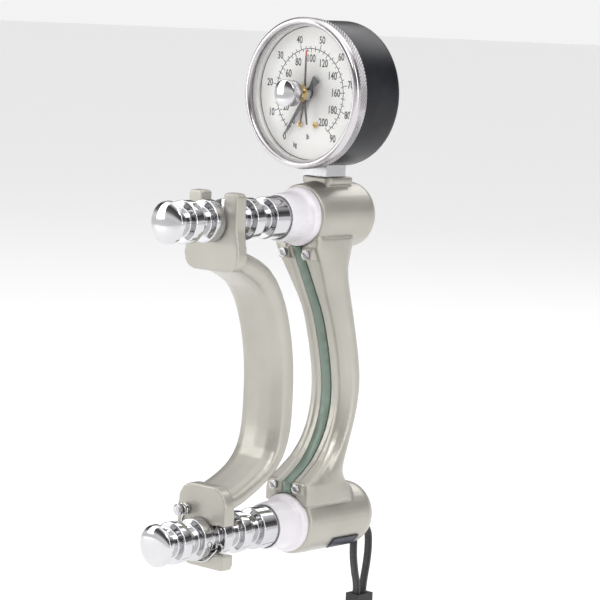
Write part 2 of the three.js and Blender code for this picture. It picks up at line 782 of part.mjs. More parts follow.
// Bourdon tube: a C that starts on the stem's head and ends beside the link.
const tubeTip = -20; // degrees from +X
const tubeRoot = 238;
const tipAngle = THREE.MathUtils.degToRad(tubeTip);
const tipX = tubeRadius * Math.cos(tipAngle);
const tipZ = gaugeZ + tubeRadius * Math.sin(tipAngle);

function bourdonTube() {
  const rings = [];
  const count = 32;
  for (let i = 0; i <= count; i += 1) {
    const angle = THREE.MathUtils.degToRad(tubeTip + (tubeRoot - tubeTip) * i / count);
    const ring = [];
    for (let k = 0; k < 8; k += 1) {
      const turn = 2 * Math.PI * k / 8;
      const radius = tubeRadius + Math.cos(turn) * tubeRadialWidth / 2;
      ring.push(new THREE.Vector3(radius * Math.cos(angle), stemY + Math.sin(turn) * tubeDepth / 2,
        gaugeZ + radius * Math.sin(angle)));
    }
    rings.push(ring);
  }
  return loft(rings);
}

place('bourdon_tube', bourdonTube(), brass);

// The link joins the tube's end to the sector's tail. Its eye is open around the tail's pin.
function linkBar() {
  const length = Math.hypot(tailX - tipX, tailZ - tipZ);
  const angle = Math.atan2(tailZ - tipZ, tailX - tipX);
  const bar = block(length, linkThickness, 1.1, length / 2, linkFrontY + linkThickness / 2, 0);
  bar.rotateY(-angle);
  bar.translate(tipX, 0, tipZ);
  const far = [tipX, tipZ, 1.6, 0.8 + gap];
  const near = [tailX, tailZ, 1.6, linkPinRadius + slideGap];
  const eyes = [far, near];
  const rims = eyes.map(([x, z, radius]) => solid(rod(radius, linkFrontY, linkFrontY + linkThickness,
    x, z, 16)));
  const holes = eyes.map(([x, z, , radius]) => solid(rod(radius, linkFrontY - 1, linkFrontY + 2, x, z, 12)));
  return cut(join(solid(bar), ...rims), ...holes);
}

place('link', toGeometry(linkBar()), steel);
place('link_screw', turned([[0, linkFrontY - 1.2], [1.5, linkFrontY - 1.2], [1.5, linkFrontY - gap],
  [0.8, linkFrontY - gap], [0.8, linkFrontY + linkThickness], [0, linkFrontY + linkThickness]],
tipX, tipZ, 16), brass);

function hairspring() {
  const turns = 3;
  const count = 48;
  const inner = [];
  const outer = [];
  for (let i = 0; i <= count; i += 1) {
    const angle = 2 * Math.PI * turns * i / count;
    const radius = 1.7 + 2.3 * i / count;
    inner.push([Math.cos(angle) * radius, Math.sin(angle) * radius]);
    outer.unshift([Math.cos(angle) * (radius + 0.3), Math.sin(angle) * (radius + 0.3)]);
  }
  const geometry = plateXZ(polygon([...inner, ...outer]), gearY + 4.6, gearY + 5.6);
  geometry.translate(0, 0, gaugeZ);
  return geometry;
}

place('hairspring', hairspring(), steel);

// pointers
const zeroAngle = -scaleSweep / 2; // from straight up, clockwise seen from the front

function aimed(geometry, degrees) {
  geometry.rotateY(THREE.MathUtils.degToRad(degrees));
  geometry.translate(0, 0, gaugeZ);
  return geometry;
}

function pointer() {
  const blade = polygon([[-1.3, 0], [-0.35, 20], [0, 24.6], [0.35, 20], [1.3, 0], [1.1, -4], [2.1, -8.2],
    [-2.1, -8.2], [-1.1, -4]]);
  const plate = solid(aimed(plateXZ(blade, pointerY, pointerY + 0.5), zeroAngle));
  const hub = solid(rod(2.1, pointerY - 0.1, pointerY + 1.3, 0, gaugeZ, 20));
  const hole = solid(rod(arborRadius + gap, pointerY - 2, pointerY + 3, 0, gaugeZ, 16));
  return cut(join(plate, hub), hole);
}

place('pointer', toGeometry(pointer()), blackEnamel);

const peakY = lensRearY + 0.45;

function peakPointer() {
  const blade = solid(aimed(plateXZ(polygon([[-0.45, 0], [-0.35, 19], [0.35, 19], [0.45, 0],
    [0.8, -4], [2.4, -14], [1.7, -14], [0, -5.2], [-1.7, -14], [-2.4, -14], [-0.8, -4]]),
  peakY, peakY + 0.4), 0));
  const step = solid(block(0.7, pointerY - gap - peakY, 0.5, 0, (peakY + pointerY - gap) / 2, gaugeZ + 18.9));
  const hub = solid(rod(2.3, peakY, peakY + 0.8, 0, gaugeZ, 20));
  const hole = solid(rod(shaftRadius - 0.6, peakY - 1, peakY + 3, 0, gaugeZ, 16));
  return cut(join(blade, step, hub), hole);
}

place('peak_pointer', toGeometry(peakPointer()), redPaint);

function resetKnob() {
  const rear = knobFrontY + knobLength;
  const profile = [[0, knobFrontY - 0.7], [knobRadius * 0.55, knobFrontY - 0.5],
    [knobRadius - 0.5, knobFrontY], [knobRadius, knobFrontY + 0.6], [knobRadius, rear - 0.5],
    [knobRadius - 0.5, rear], [3.2, rear],
    [3.2, lensFrontY - 1.4 - gap], [shaftRadius, lensFrontY - 1.4 - gap], [shaftRadius, lensRearY + 0.15],
    [shaftRadius - 0.9, lensRearY + 0.15], [shaftRadius - 0.9, peakY + 1], [0, peakY + 1]];
  return turned(profile, 0, gaugeZ, 24);
}

place('reset_knob', resetKnob(), chrome);

// handle
const handleRearY = firstShoulder + (handleGroove - 1) * groovePitch - gap;
const handleFrontY = handleRearY - handlePlate;

function upperForkShape() {
  const shape = new THREE.Shape();
  shape.moveTo(-forkSlotRadius, upperZ + forkTop - 1);
  shape.lineTo(-forkSlotRadius, upperZ);
  shape.absarc(0, upperZ, forkSlotRadius, Math.PI, 2 * Math.PI, false);
  shape.lineTo(forkSlotRadius, upperZ + forkTop - 1);
  shape.lineTo(forkSlotRadius + 1, upperZ + forkTop);
  shape.lineTo(forkHalfWidth - 1.5, upperZ + forkTop);
  shape.lineTo(forkHalfWidth, upperZ + forkTop - 1.5);
  shape.lineTo(forkHalfWidth, upperZ - 3);
  shape.lineTo(forkHalfWidth + 1.8, upperZ - 14);
  shape.absarc(forkHalfWidth - 4.2, upperZ - forkBottom + 6, 6, 0, -Math.PI / 2, true);
  shape.absarc(4.2 - forkHalfWidth, upperZ - forkBottom + 6, 6, -Math.PI / 2, -Math.PI, true);
  shape.lineTo(-forkHalfWidth - 1.8, upperZ - 14);
  shape.lineTo(-forkHalfWidth, upperZ - 3);
  shape.lineTo(-forkHalfWidth, upperZ + forkTop - 1.5);
  shape.lineTo(1.5 - forkHalfWidth, upperZ + forkTop);
  shape.lineTo(-forkSlotRadius - 1, upperZ + forkTop);
  shape.closePath();
  return shape;
}

// The side slot is an arc about the upper post, so the lower end can swing off its post.
function lowerHookShape() {
  const innerReach = postSpacing - forkSlotRadius;
  const outerReach = postSpacing + forkSlotRadius;
  const mouthX = forkHalfWidth;
  const shape = new THREE.Shape();
  const top = lowerZ + lowerPlateTop;
  shape.moveTo(0, top);
  shape.absarc(forkHalfWidth - lowerPlateCorner, top - lowerPlateCorner, lowerPlateCorner,
    Math.PI / 2, 0, true);
  const upperMouth = Math.acos(mouthX / innerReach);
  shape.lineTo(mouthX, upperZ - innerReach * Math.sin(upperMouth));
  shape.absarc(0, upperZ, innerReach, -upperMouth, -Math.PI / 2, true);
  shape.absarc(0, lowerZ, forkSlotRadius, Math.PI / 2, 1.5 * Math.PI, false);
  const lowerMouth = Math.acos(mouthX / outerReach);
  shape.absarc(0, upperZ, outerReach, -Math.PI / 2, -lowerMouth, false);
  shape.lineTo(mouthX, lowerZ - jawDrop + 2);
  shape.absarc(mouthX - 2, lowerZ - jawDrop + 2, 2, 0, -Math.PI / 2, true);
  shape.lineTo(-forkHalfWidth + 9, lowerZ - jawDrop);
  shape.absarc(-forkHalfWidth + 9, lowerZ - jawDrop + 9, 9, -Math.PI / 2, -Math.PI, true);
  shape.lineTo(-forkHalfWidth, top - lowerPlateCorner);
  shape.absarc(lowerPlateCorner - forkHalfWidth, top - lowerPlateCorner, lowerPlateCorner,
    Math.PI, Math.PI / 2, true);
  return shape;
}

// Centre line of the finger grip in the YZ plane; heights are shares of the post spacing from
// the middle of the posts, so the ends stay inside the plates.
const gripLine = new THREE.CatmullRomCurve3([
  [handleFrontY + handlePlate / 2, 0.3843], [handleRearY + 8, 0.3586], [handleRearY + 18, 0.3186],
  [handleRearY + 24.6, 0.2586], [handleRearY + 30, 0.1643], [handleRearY + 33.6, 0.0357],
  [handleRearY + 34.1, -0.1071], [handleRearY + 33, -0.1929], [handleRearY + 29.6, -0.2571],
  [handleRearY + 22.6, -0.31], [handleRearY + 6, -0.37], [handleFrontY + handlePlate / 2, -0.3871],
].map(([y, share]) => new THREE.Vector3(0, y, palmDrop + share * postSpacing)));

function grip() {
  const rings = [];
  const count = 26;
  for (let i = 0; i <= count; i += 1) {
    const t = i / count;
    const centre = gripLine.getPointAt(t);
    const along = gripLine.getTangentAt(t);
    const out = new THREE.Vector3(0, -along.z, along.y);
    const ends = Math.max(smooth(0.16, 0, t), smooth(0.84, 1, t));
    const halfWidth = gripHalfWidth + 0.9 * ends;
    const halfDepth = gripHalfDepth - armThinning * smooth(0.62, 0.84, t) - 0.8 * smooth(0.12, 0, t);
    const ring = [];
    const sides = 16;
    for (let k = 0; k < sides; k += 1) {
      const turn = 2 * Math.PI * k / sides;
      const c = Math.cos(turn);
      const s = Math.sin(turn);
      const power = 0.62;
      const x = Math.sign(c) * Math.abs(c) ** power * halfWidth;
      const d = Math.sign(s) * Math.abs(s) ** power * halfDepth;
      ring.push(new THREE.Vector3(x, centre.y + out.y * d, centre.z + out.z * d));
    }
    rings.push(ring);
  }
  return solid(loft(rings));
}

function handle() {
  const fork = solid(plateXZ(upperForkShape(), handleFrontY, handleRearY, 14));
  const hook = solid(plateXZ(lowerHookShape(), handleFrontY, handleRearY, 14));
  const postClear = [upperZ, lowerZ].map((z) => solid(tube(forkSlotRadius - 0.1, postRadius + 1.2,
    handleRearY, housingFrontY - bushingLength + 20, 0, z, 40)));
  const whole = join(fork, hook, cut(grip(), ...postClear));
  const screwHole = solid(rod(1.3, handleFrontY - 2, handleFrontY + 4, clipPivotX,
    lowerZ + clipPivotLift, 14));
  return cut(whole, screwHole);
}

place('handle', toGeometry(handle()), castPaint);

// clip and its screw
const clipWireY = handleFrontY - clipWire / 2 - 0.2;
const clipPivotZ = lowerZ + clipPivotLift;
const coilLength = clipCoilTurns * clipCoilPitch;

function clipCurve() {
  const points = [];
  const perTurn = 10;
  const total = clipCoilTurns * perTurn;
  for (let i = 0; i <= total; i += 1) {
    const angle = -2 * Math.PI * i / perTurn + Math.PI;
    points.push(new THREE.Vector3(clipPivotX + clipCoilRadius * Math.cos(angle),
      clipWireY - coilLength + coilLength * i / total,
      clipPivotZ + clipCoilRadius * Math.sin(angle)));
  }
  const wire = (x, z) => points.push(new THREE.Vector3(x, clipWireY, z));
  const arcStart = 195;
  const arcEnd = 322;
  for (let i = 0; i <= 10; i += 1) {
    const angle = THREE.MathUtils.degToRad(arcStart + (arcEnd - arcStart) * i / 10);
    wire(clipArcRadius * Math.cos(angle), lowerZ + clipArcRadius * Math.sin(angle));
  }
  for (let i = 0; i <= 10; i += 1) {
    const angle = THREE.MathUtils.degToRad(215 - 300 * i / 10);
    wire(clipEyeX + clipEyeRadius * Math.cos(angle), lowerZ - clipEyeDrop + clipEyeRadius * Math.sin(angle));
  }
  return new THREE.CatmullRomCurve3(points, false, 'centripetal');
}

place('retaining_clip', swept(clipCurve(), clipWire, clipWire, 120, 5), steel);

place('clip_screw', turned([[0, clipWireY - coilLength - 2.6], [1.8, clipWireY - coilLength - 2.4],
  [2.6, clipWireY - coilLength - 1.7], [2.6, clipWireY - coilLength - 0.7],
  [1.4, clipWireY - coilLength - 0.7],
  [1.4, handleFrontY - 0.2], [1, handleFrontY - 0.2], [1, handleFrontY + 3.4], [0, handleFrontY + 3.4]],
clipPivotX, clipPivotZ, 20), steel);

// label
const labelLength = 17.2;
const labelRearY = -2;

function labelPlate() {
  const shape = new THREE.Shape();
  const inner = housingRadius + gap;
  const outer = inner + 0.5;
  const from = THREE.MathUtils.degToRad(-55);
  const to = THREE.MathUtils.degToRad(-31);
  shape.absarc(0, lowerZ, inner, from, to, false);
  shape.absarc(0, lowerZ, outer, to, from, true);
  shape.closePath();
  return plateXZ(shape, labelRearY - labelLength, labelRearY, 8);
}

place('label_plate', labelPlate(), labelBlack);

// wrist strap
const cordPoints = [
  [5, 4.6, -72.5], [5, 4.6, -78], [5.1, 4.8, -84], [5.4, 5.8, -91], [5.9, 6.9, -97], [6, 7.1, -101.5],
  [6, 7.1, -107.5], [6, 4.5, -114], [6, -2, -124], [6, -9, -136], [6, -15, -150], [6, -18.5, -165],
  [6, -18, -180], [6, -12.5, -194], [6, -2, -203.5], [6, 11, -206.5], [6, 24, -202.5], [6, 33.5, -192],
  [6, 37.5, -178], [6, 37, -163], [6, 33, -148], [6, 27, -135], [6, 19, -122], [6, 13.5, -114],
  [6, 11.3, -107.5], [6, 11.3, -101.5], [5.9, 12, -96], [5.5, 14, -88], [5.1, 15.2, -80.5], [5, 14.6, -73.5],
  [5, 11.8, -69.6], [5, 7.2, -69],
];
const sliderTop = -101.5;
const sliderBottom = -107.5;
const sliderX = 6;
const sliderY = 9.2;
const strandSpread = 2.1;

function cordSlider() {
  const body = solid(block(7.6, 10.6, sliderTop - sliderBottom, sliderX, sliderY,
    (sliderTop + sliderBottom) / 2));
  const ways = [-1, 1].map((sign) => solid(block(cordWidth + 1, cordThickness + 0.9, 20,
    sliderX, sliderY + sign * strandSpread, sliderTop)));
  return cut(body, ...ways);
}

place('cord_slider', toGeometry(cordSlider()), blackEnamel);

const cordCurve = new THREE.CatmullRomCurve3(cordPoints.map(([x, y, z]) => new THREE.Vector3(x, y, z)));
place('wrist_cord', swept(cordCurve, cordWidth, cordThickness, 80, 6), blackBraid);

export default object;
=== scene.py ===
import bpy
import bmesh
import json
import math
from mathutils import Matrix, Vector
from mathutils.bvhtree import BVHTree

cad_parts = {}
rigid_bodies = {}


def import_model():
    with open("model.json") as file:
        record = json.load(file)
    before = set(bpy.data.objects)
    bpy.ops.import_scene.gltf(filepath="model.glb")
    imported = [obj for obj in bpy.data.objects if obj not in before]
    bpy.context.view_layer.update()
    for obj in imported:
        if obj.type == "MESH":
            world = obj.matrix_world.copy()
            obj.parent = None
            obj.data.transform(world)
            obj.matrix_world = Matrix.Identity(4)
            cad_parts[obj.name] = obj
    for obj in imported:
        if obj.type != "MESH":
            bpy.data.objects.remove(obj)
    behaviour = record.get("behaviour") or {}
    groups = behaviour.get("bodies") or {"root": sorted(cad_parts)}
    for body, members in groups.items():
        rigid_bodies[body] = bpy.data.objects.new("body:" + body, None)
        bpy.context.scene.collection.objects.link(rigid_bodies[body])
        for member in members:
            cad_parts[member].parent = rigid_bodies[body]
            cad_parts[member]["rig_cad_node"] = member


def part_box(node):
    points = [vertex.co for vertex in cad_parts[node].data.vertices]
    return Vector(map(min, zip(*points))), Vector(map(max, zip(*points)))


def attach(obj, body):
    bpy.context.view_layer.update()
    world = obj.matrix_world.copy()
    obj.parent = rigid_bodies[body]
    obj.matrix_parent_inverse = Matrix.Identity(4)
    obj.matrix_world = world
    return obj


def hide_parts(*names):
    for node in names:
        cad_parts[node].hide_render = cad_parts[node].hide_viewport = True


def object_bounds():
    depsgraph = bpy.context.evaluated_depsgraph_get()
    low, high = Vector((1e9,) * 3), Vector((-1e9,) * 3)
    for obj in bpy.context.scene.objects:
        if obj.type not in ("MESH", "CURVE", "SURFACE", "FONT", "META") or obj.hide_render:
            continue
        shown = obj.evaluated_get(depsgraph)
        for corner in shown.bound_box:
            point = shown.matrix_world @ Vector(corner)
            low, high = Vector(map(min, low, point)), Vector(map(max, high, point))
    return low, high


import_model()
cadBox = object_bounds()
mm = 0.001
scene = bpy.context.scene
collection = scene.collection


def middleOf(node):
    low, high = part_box(node)
    return (low + high) / 2


upperPostZ = middleOf("upper_post").z
lowerPostZ = middleOf("lower_post").z
gaugeZ = middleOf("gauge_lens").z
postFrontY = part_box("upper_post")[0].y
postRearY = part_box("upper_post")[1].y
print("frame loaded")

# Camera
cameraSettings = {
    "place": (0.74432, -0.86474, 0.16936), "azimuth": 41.86, "elevation": 6.65, "roll": 2.41,
    "lens": 148.9, "shift": (-0.0013, -0.0017),
}


def makeCamera(settings):
    azimuth = math.radians(settings["azimuth"])
    elevation = math.radians(settings["elevation"])
    roll = math.radians(settings["roll"])
    back = Vector((math.sin(azimuth) * math.cos(elevation), -math.cos(azimuth) * math.cos(elevation),
                   math.sin(elevation)))
    levelRight = Vector((math.cos(azimuth), math.sin(azimuth), 0))
    levelUp = back.cross(levelRight)
    right = math.cos(roll) * levelRight + math.sin(roll) * levelUp
    up = math.cos(roll) * levelUp - math.sin(roll) * levelRight
    data = bpy.data.cameras.new("camera")
    data.lens = settings["lens"]
    data.sensor_width = 36
    data.shift_x, data.shift_y = settings["shift"]
    data.clip_start = 0.02
    data.clip_end = 60
    camera = bpy.data.objects.new("camera", data)
    turn = Matrix((right, up, back)).transposed()
    camera.matrix_world = Matrix.Translation(Vector(settings["place"])) @ turn.to_4x4()
    collection.objects.link(camera)
    scene.camera = camera


makeCamera(cameraSettings)


# Mesh helpers
def newPiece(name, vertices, faces, smooth=True):
    mesh = bpy.data.meshes.new(name)
    mesh.from_pydata([tuple(v) for v in vertices], [], faces)
    mesh.validate()
    mesh.update()
    piece = bpy.data.objects.new(name, mesh)
    collection.objects.link(piece)
    for polygon in mesh.polygons:
        polygon.use_smooth = smooth
    return piece


def pointOutward(piece):
    work = bmesh.new()
    work.from_mesh(piece.data)
    bmesh.ops.remove_doubles(work, verts=work.verts, dist=1e-7)
    bmesh.ops.recalc_face_normals(work, faces=work.faces)
    work.to_mesh(piece.data)
    work.free()
    piece.data.update()
    return piece


def softenedProfile(points, radius, steps=4):
    # Rounds the corners of a profile of (radius, along, [corner radius]) points.
    result = [points[0][:2]]
    for index in range(1, len(points) - 1):
        before, here, after = (Vector(points[index + k][:2]) for k in (-1, 0, 1))
        own = points[index][2] if len(points[index]) > 2 else radius
        inward, outward = before - here, after - here
        reach = min(own, inward.length * 0.45, outward.length * 0.45)
        if reach < 1e-6 or abs(inward.normalized().cross(outward.normalized())) < 0.02:
            result.append(tuple(here))
            continue
        start = here + inward.normalized() * reach
        end = here + outward.normalized() * reach
        for step in range(steps + 1):
            t = step / steps
            result.append(tuple(start * (1 - t) ** 2 + here * 2 * t * (1 - t) + end * t ** 2))
    result.append(points[-1][:2])
    return result


def turnedPiece(name, profile, z, x=0.0, segments=128):
    # Revolves (radius, y) points about a line along Y.
    vertices, faces, rings = [], [], []
    for radius, y in profile:
        if radius < 1e-7:
            rings.append([len(vertices)])
            vertices.append((x, y, z))
            continue
        rings.append(list(range(len(vertices), len(vertices) + segments)))
        for step in range(segments):
            angle = 2 * math.pi * step / segments
            vertices.append((x + radius * math.cos(angle), y, z + radius * math.sin(angle)))
    for first, second in zip(rings, rings[1:]):
        if len(first) == 1 and len(second) == 1:
            continue
        for step in range(segments):
            after = (step + 1) % segments
            if len(first) == 1:
                faces.append((first[0], second[step], second[after]))
            elif len(second) == 1:
                faces.append((first[step], second[0], first[after]))
            else:
                faces.append((first[step], second[step], second[after], first[after]))
    return pointOutward(newPiece(name, vertices, faces))


def cadCopy(name, node):
    # A merged copy of a CAD node's mesh, as a piece of its own.
    source = next(o for o in bpy.data.objects if o.get("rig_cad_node") == node or o.name == node)
    mesh = source.data.copy()
    mesh.name = name
    mesh.materials.clear()
    piece = bpy.data.objects.new(name, mesh)
    collection.objects.link(piece)
    work = bmesh.new()
    work.from_mesh(mesh)
    bmesh.ops.remove_doubles(work, verts=work.verts, dist=2e-6)
    bmesh.ops.dissolve_degenerate(work, edges=work.edges, dist=1e-6)
    work.to_mesh(mesh)
    work.free()
    return piece


def applyModifiers(piece):
    depsgraph = bpy.context.evaluated_depsgraph_get()
    evaluated = piece.evaluated_get(depsgraph)
    mesh = bpy.data.meshes.new_from_object(evaluated, depsgraph=depsgraph)
    piece.modifiers.clear()
    piece.data = mesh
    return piece


def setOff(piece, body, slot, material, *nodes):
    # Finishes a piece: its material, the body it rides on and the CAD nodes it stands for.
    piece.data.materials.clear()
    piece.data.materials.append(material)
    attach(piece, body)
    if nodes:
        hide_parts(*nodes)
    return piece


# Geometry node helpers
def newTree(name, inputs):
    # A geometry node tree with the named inputs, given as (name, kind) pairs.
    tree = bpy.data.node_groups.new(name, "GeometryNodeTree")
    tree.interface.new_socket(name="Geometry", in_out="INPUT", socket_type="NodeSocketGeometry")
    tree.interface.new_socket(name="Geometry", in_out="OUTPUT", socket_type="NodeSocketGeometry")
    for label, kind in inputs:
        tree.interface.new_socket(name=label, in_out="INPUT", socket_type="NodeSocket" + kind)
    start = tree.nodes.new("NodeGroupInput")
    end = tree.nodes.new("NodeGroupOutput")
    return tree, start, end


def addNode(tree, kind, values=None, **settings):
    node = tree.nodes.new(kind)
    for label, value in settings.items():
        setattr(node, label, value)
    for label, value in (values or {}).items():
        node.inputs[label].default_value = value
    return node


def wire(tree, *pairs):
    for source, target in pairs:
        tree.links.new(source, target)


def calculate(tree, operation, first, second):
    node = tree.nodes.new("ShaderNodeMath")
    node.operation = operation
    for socket, value in zip(node.inputs, (first, second)):
        if isinstance(value, (int, float)):
            socket.default_value = value
        else:
            tree.links.new(value, socket)
    return node.outputs[0]


def realise(tree, geometry, start, end):
    real = addNode(tree, "GeometryNodeRealizeInstances")
    painted = addNode(tree, "GeometryNodeSetMaterial")
    wire(tree, (geometry, real.inputs[0]), (real.outputs[0], painted.inputs["Geometry"]),
         (start.outputs["Material"], painted.inputs["Material"]), (painted.outputs[0], end.inputs[0]))


def runTree(piece, tree, values):
    # Runs a tree on a piece with these input values and keeps the result as a plain mesh.
    modifier = piece.modifiers.new(tree.name, "NODES")
    modifier.node_group = tree
    names = {s.name: s.identifier for s in tree.interface.items_tree if s.in_out == "INPUT"}
    for label, value in values.items():
        modifier[names[label]] = value
    bpy.context.view_layer.update()
    return applyModifiers(piece)


def knurlTree():
    # Rows of small pyramids round a cylinder about the Z direction.
    tree, start, end = newTree("knurlRows", [("Teeth", "Int"), ("Rows", "Int"), ("Radius", "Float"),
                                             ("Spacing", "Float"), ("Width", "Float"), ("Height", "Float"),
                                             ("Material", "Material")])
    tooth = addNode(tree, "GeometryNodeMeshCone", {"Vertices": 4})
    circle = addNode(tree, "GeometryNodeMeshCircle")
    place = addNode(tree, "GeometryNodeInputPosition")
    turn = addNode(tree, "FunctionNodeAlignRotationToVector", axis="Z")
    ring = addNode(tree, "GeometryNodeInstanceOnPoints")
    rows = addNode(tree, "GeometryNodeMeshLine")
    step = addNode(tree, "ShaderNodeCombineXYZ")
    index = addNode(tree, "GeometryNodeInputIndex")
    halfTooth = calculate(tree, "DIVIDE", math.pi, start.outputs["Teeth"])
    twist = addNode(tree, "ShaderNodeCombineXYZ")
    stack = addNode(tree, "GeometryNodeInstanceOnPoints")
    wire(tree,
         (start.outputs["Width"], tooth.inputs["Radius Bottom"]),
         (start.outputs["Height"], tooth.inputs["Depth"]),
         (start.outputs["Teeth"], circle.inputs["Vertices"]),
         (start.outputs["Radius"], circle.inputs["Radius"]),
         (place.outputs[0], turn.inputs["Vector"]), (circle.outputs[0], ring.inputs["Points"]),
         (tooth.outputs[0], ring.inputs["Instance"]), (turn.outputs[0], ring.inputs["Rotation"]),
         (start.outputs["Rows"], rows.inputs["Count"]), (start.outputs["Spacing"], step.inputs["Z"]),
         (step.outputs[0], rows.inputs["Offset"]),
         (calculate(tree, "MULTIPLY", index.outputs[0], halfTooth), twist.inputs["Z"]),
         (rows.outputs[0], stack.inputs["Points"]), (ring.outputs[0], stack.inputs["Instance"]),
         (twist.outputs[0], stack.inputs["Rotation"]))
    tooth.inputs["Radius Top"].default_value = 0
    realise(tree, stack.outputs[0], start, end)
    return tree


def tickTree():
    # Flat marks on an arc in the XZ plane; every so many of them is a long one.
    tree, start, end = newTree("dialTicks", [("Count", "Int"), ("Every", "Int"), ("First", "Float"),
                                             ("Step", "Float"), ("Radius", "Float"), ("Short", "Float"),
                                             ("Long", "Float"), ("Width", "Float"), ("Depth", "Float"),
                                             ("Side", "Float"), ("Material", "Material")])
    line = addNode(tree, "GeometryNodeMeshLine")
    index = addNode(tree, "GeometryNodeInputIndex")
    angle = calculate(tree, "ADD", start.outputs["First"],
                      calculate(tree, "MULTIPLY", index.outputs[0], start.outputs["Step"]))
    turnInGroup = calculate(tree, "MODULO", index.outputs[0], start.outputs["Every"])
    isLong = calculate(tree, "LESS_THAN", turnInGroup, 0.5)
    extra = calculate(tree, "SUBTRACT", start.outputs["Long"], start.outputs["Short"])
    length = calculate(tree, "ADD", start.outputs["Short"], calculate(tree, "MULTIPLY", isLong, extra))
    halfLength = calculate(tree, "MULTIPLY", length, 0.5)
    reach = calculate(tree, "ADD", start.outputs["Radius"],
                      calculate(tree, "MULTIPLY", halfLength, start.outputs["Side"]))
    spot = addNode(tree, "ShaderNodeCombineXYZ")
    turn = addNode(tree, "ShaderNodeCombineXYZ")
    size = addNode(tree, "ShaderNodeCombineXYZ")
    move = addNode(tree, "GeometryNodeSetPosition")
    mark = addNode(tree, "GeometryNodeMeshCube")
    marks = addNode(tree, "GeometryNodeInstanceOnPoints")
    wire(tree,
         (calculate(tree, "MULTIPLY", calculate(tree, "SINE", angle, 0), reach), spot.inputs["X"]),
         (calculate(tree, "MULTIPLY", calculate(tree, "COSINE", angle, 0), reach), spot.inputs["Z"]),
         (start.outputs["Count"], line.inputs["Count"]), (line.outputs[0], move.inputs["Geometry"]),
         (spot.outputs[0], move.inputs["Position"]), (angle, turn.inputs["Y"]),
         (start.outputs["Width"], size.inputs["X"]), (start.outputs["Depth"], size.inputs["Y"]),
         (length, size.inputs["Z"]), (move.outputs[0], marks.inputs["Points"]),
         (mark.outputs[0], marks.inputs["Instance"]), (turn.outputs[0], marks.inputs["Rotation"]),
         (size.outputs[0], marks.inputs["Scale"]))
    realise(tree, marks.outputs[0], start, end)
    return tree


def screwTree():
    # One screw on each vertex of the mesh that the tree runs on.
    tree, start, end = newTree("screwsOnPoints", [("Screw", "Object"), ("Material", "Material")])
    screw = addNode(tree, "GeometryNodeObjectInfo")
    points = addNode(tree, "GeometryNodeMeshToPoints")
    screws = addNode(tree, "GeometryNodeInstanceOnPoints")
    wire(tree, (start.outputs["Screw"], screw.inputs["Object"]),
         (start.outputs["Geometry"], points.inputs[0]),
         (points.outputs[0], screws.inputs["Points"]),
         (screw.outputs["Geometry"], screws.inputs["Instance"]))
    realise(tree, screws.outputs[0], start, end)
    return tree


knurlRows, dialTicks, screwsOnPoints = knurlTree(), tickTree(), screwTree()
faceRear = Matrix.Rotation(-math.pi / 2, 4, "X")  # lays a ring built about Z along +Y
faceFront = Matrix.Rotation(math.pi / 2, 4, "X")


# Materials
def newGroup(name, inputs, outputs):
    group = bpy.data.node_groups.new(name, "ShaderNodeTree")
    for label, value in inputs:
        socket = group.interface.new_socket(name=label, in_out="INPUT", socket_type="NodeSocketFloat")
        socket.default_value = value
    for label in outputs:
        group.interface.new_socket(name=label, in_out="OUTPUT", socket_type="NodeSocketFloat")
    return group, group.nodes.new("NodeGroupInput"), group.nodes.new("NodeGroupOutput")


def grainGroup():
    # Fine surface grain with a slower drift of tone, both from 0 to 1.
    group, start, end = newGroup("surfaceGrain", [("Fine", 900.0), ("Broad", 30.0)], ["Height", "Tone"])
    place = addNode(group, "ShaderNodeTexCoord")
    fine = addNode(group, "ShaderNodeTexNoise", {"Detail": 3.0, "Roughness": 0.6})
    broad = addNode(group, "ShaderNodeTexNoise", {"Detail": 4.0, "Roughness": 0.55})
    wire(group, (place.outputs["Object"], fine.inputs["Vector"]),
         (place.outputs["Object"], broad.inputs["Vector"]),
         (start.outputs["Fine"], fine.inputs["Scale"]), (start.outputs["Broad"], broad.inputs["Scale"]),
         (fine.outputs[0], end.inputs["Height"]), (broad.outputs[0], end.inputs["Tone"]))
    return group


def handlingGroup():
    # Roughness that drifts between two values, with faint streaks from handling.
    inputs = [("Clean", 0.1), ("Dull", 0.3), ("Scale", 60.0)]
    group, start, end = newGroup("handlingMarks", inputs, ["Roughness"])
    place = addNode(group, "ShaderNodeTexCoord")
    stretch = addNode(group, "ShaderNodeMapping", {"Scale": (1.0, 0.25, 1.0)})
    smear = addNode(group, "ShaderNodeTexNoise", {"Detail": 6.0, "Roughness": 0.65})
    spread = addNode(group, "ShaderNodeMapRange", {"From Min": 0.35, "From Max": 0.75})
    wire(group, (place.outputs["Object"], stretch.inputs["Vector"]),
         (stretch.outputs[0], smear.inputs["Vector"]),
         (start.outputs["Scale"], smear.inputs["Scale"]), (smear.outputs[0], spread.inputs["Value"]),
         (start.outputs["Clean"], spread.inputs["To Min"]), (start.outputs["Dull"], spread.inputs["To Max"]),
         (spread.outputs[0], end.inputs["Roughness"]))
    return group


surfaceGrain, handlingMarks = grainGroup(), handlingGroup()


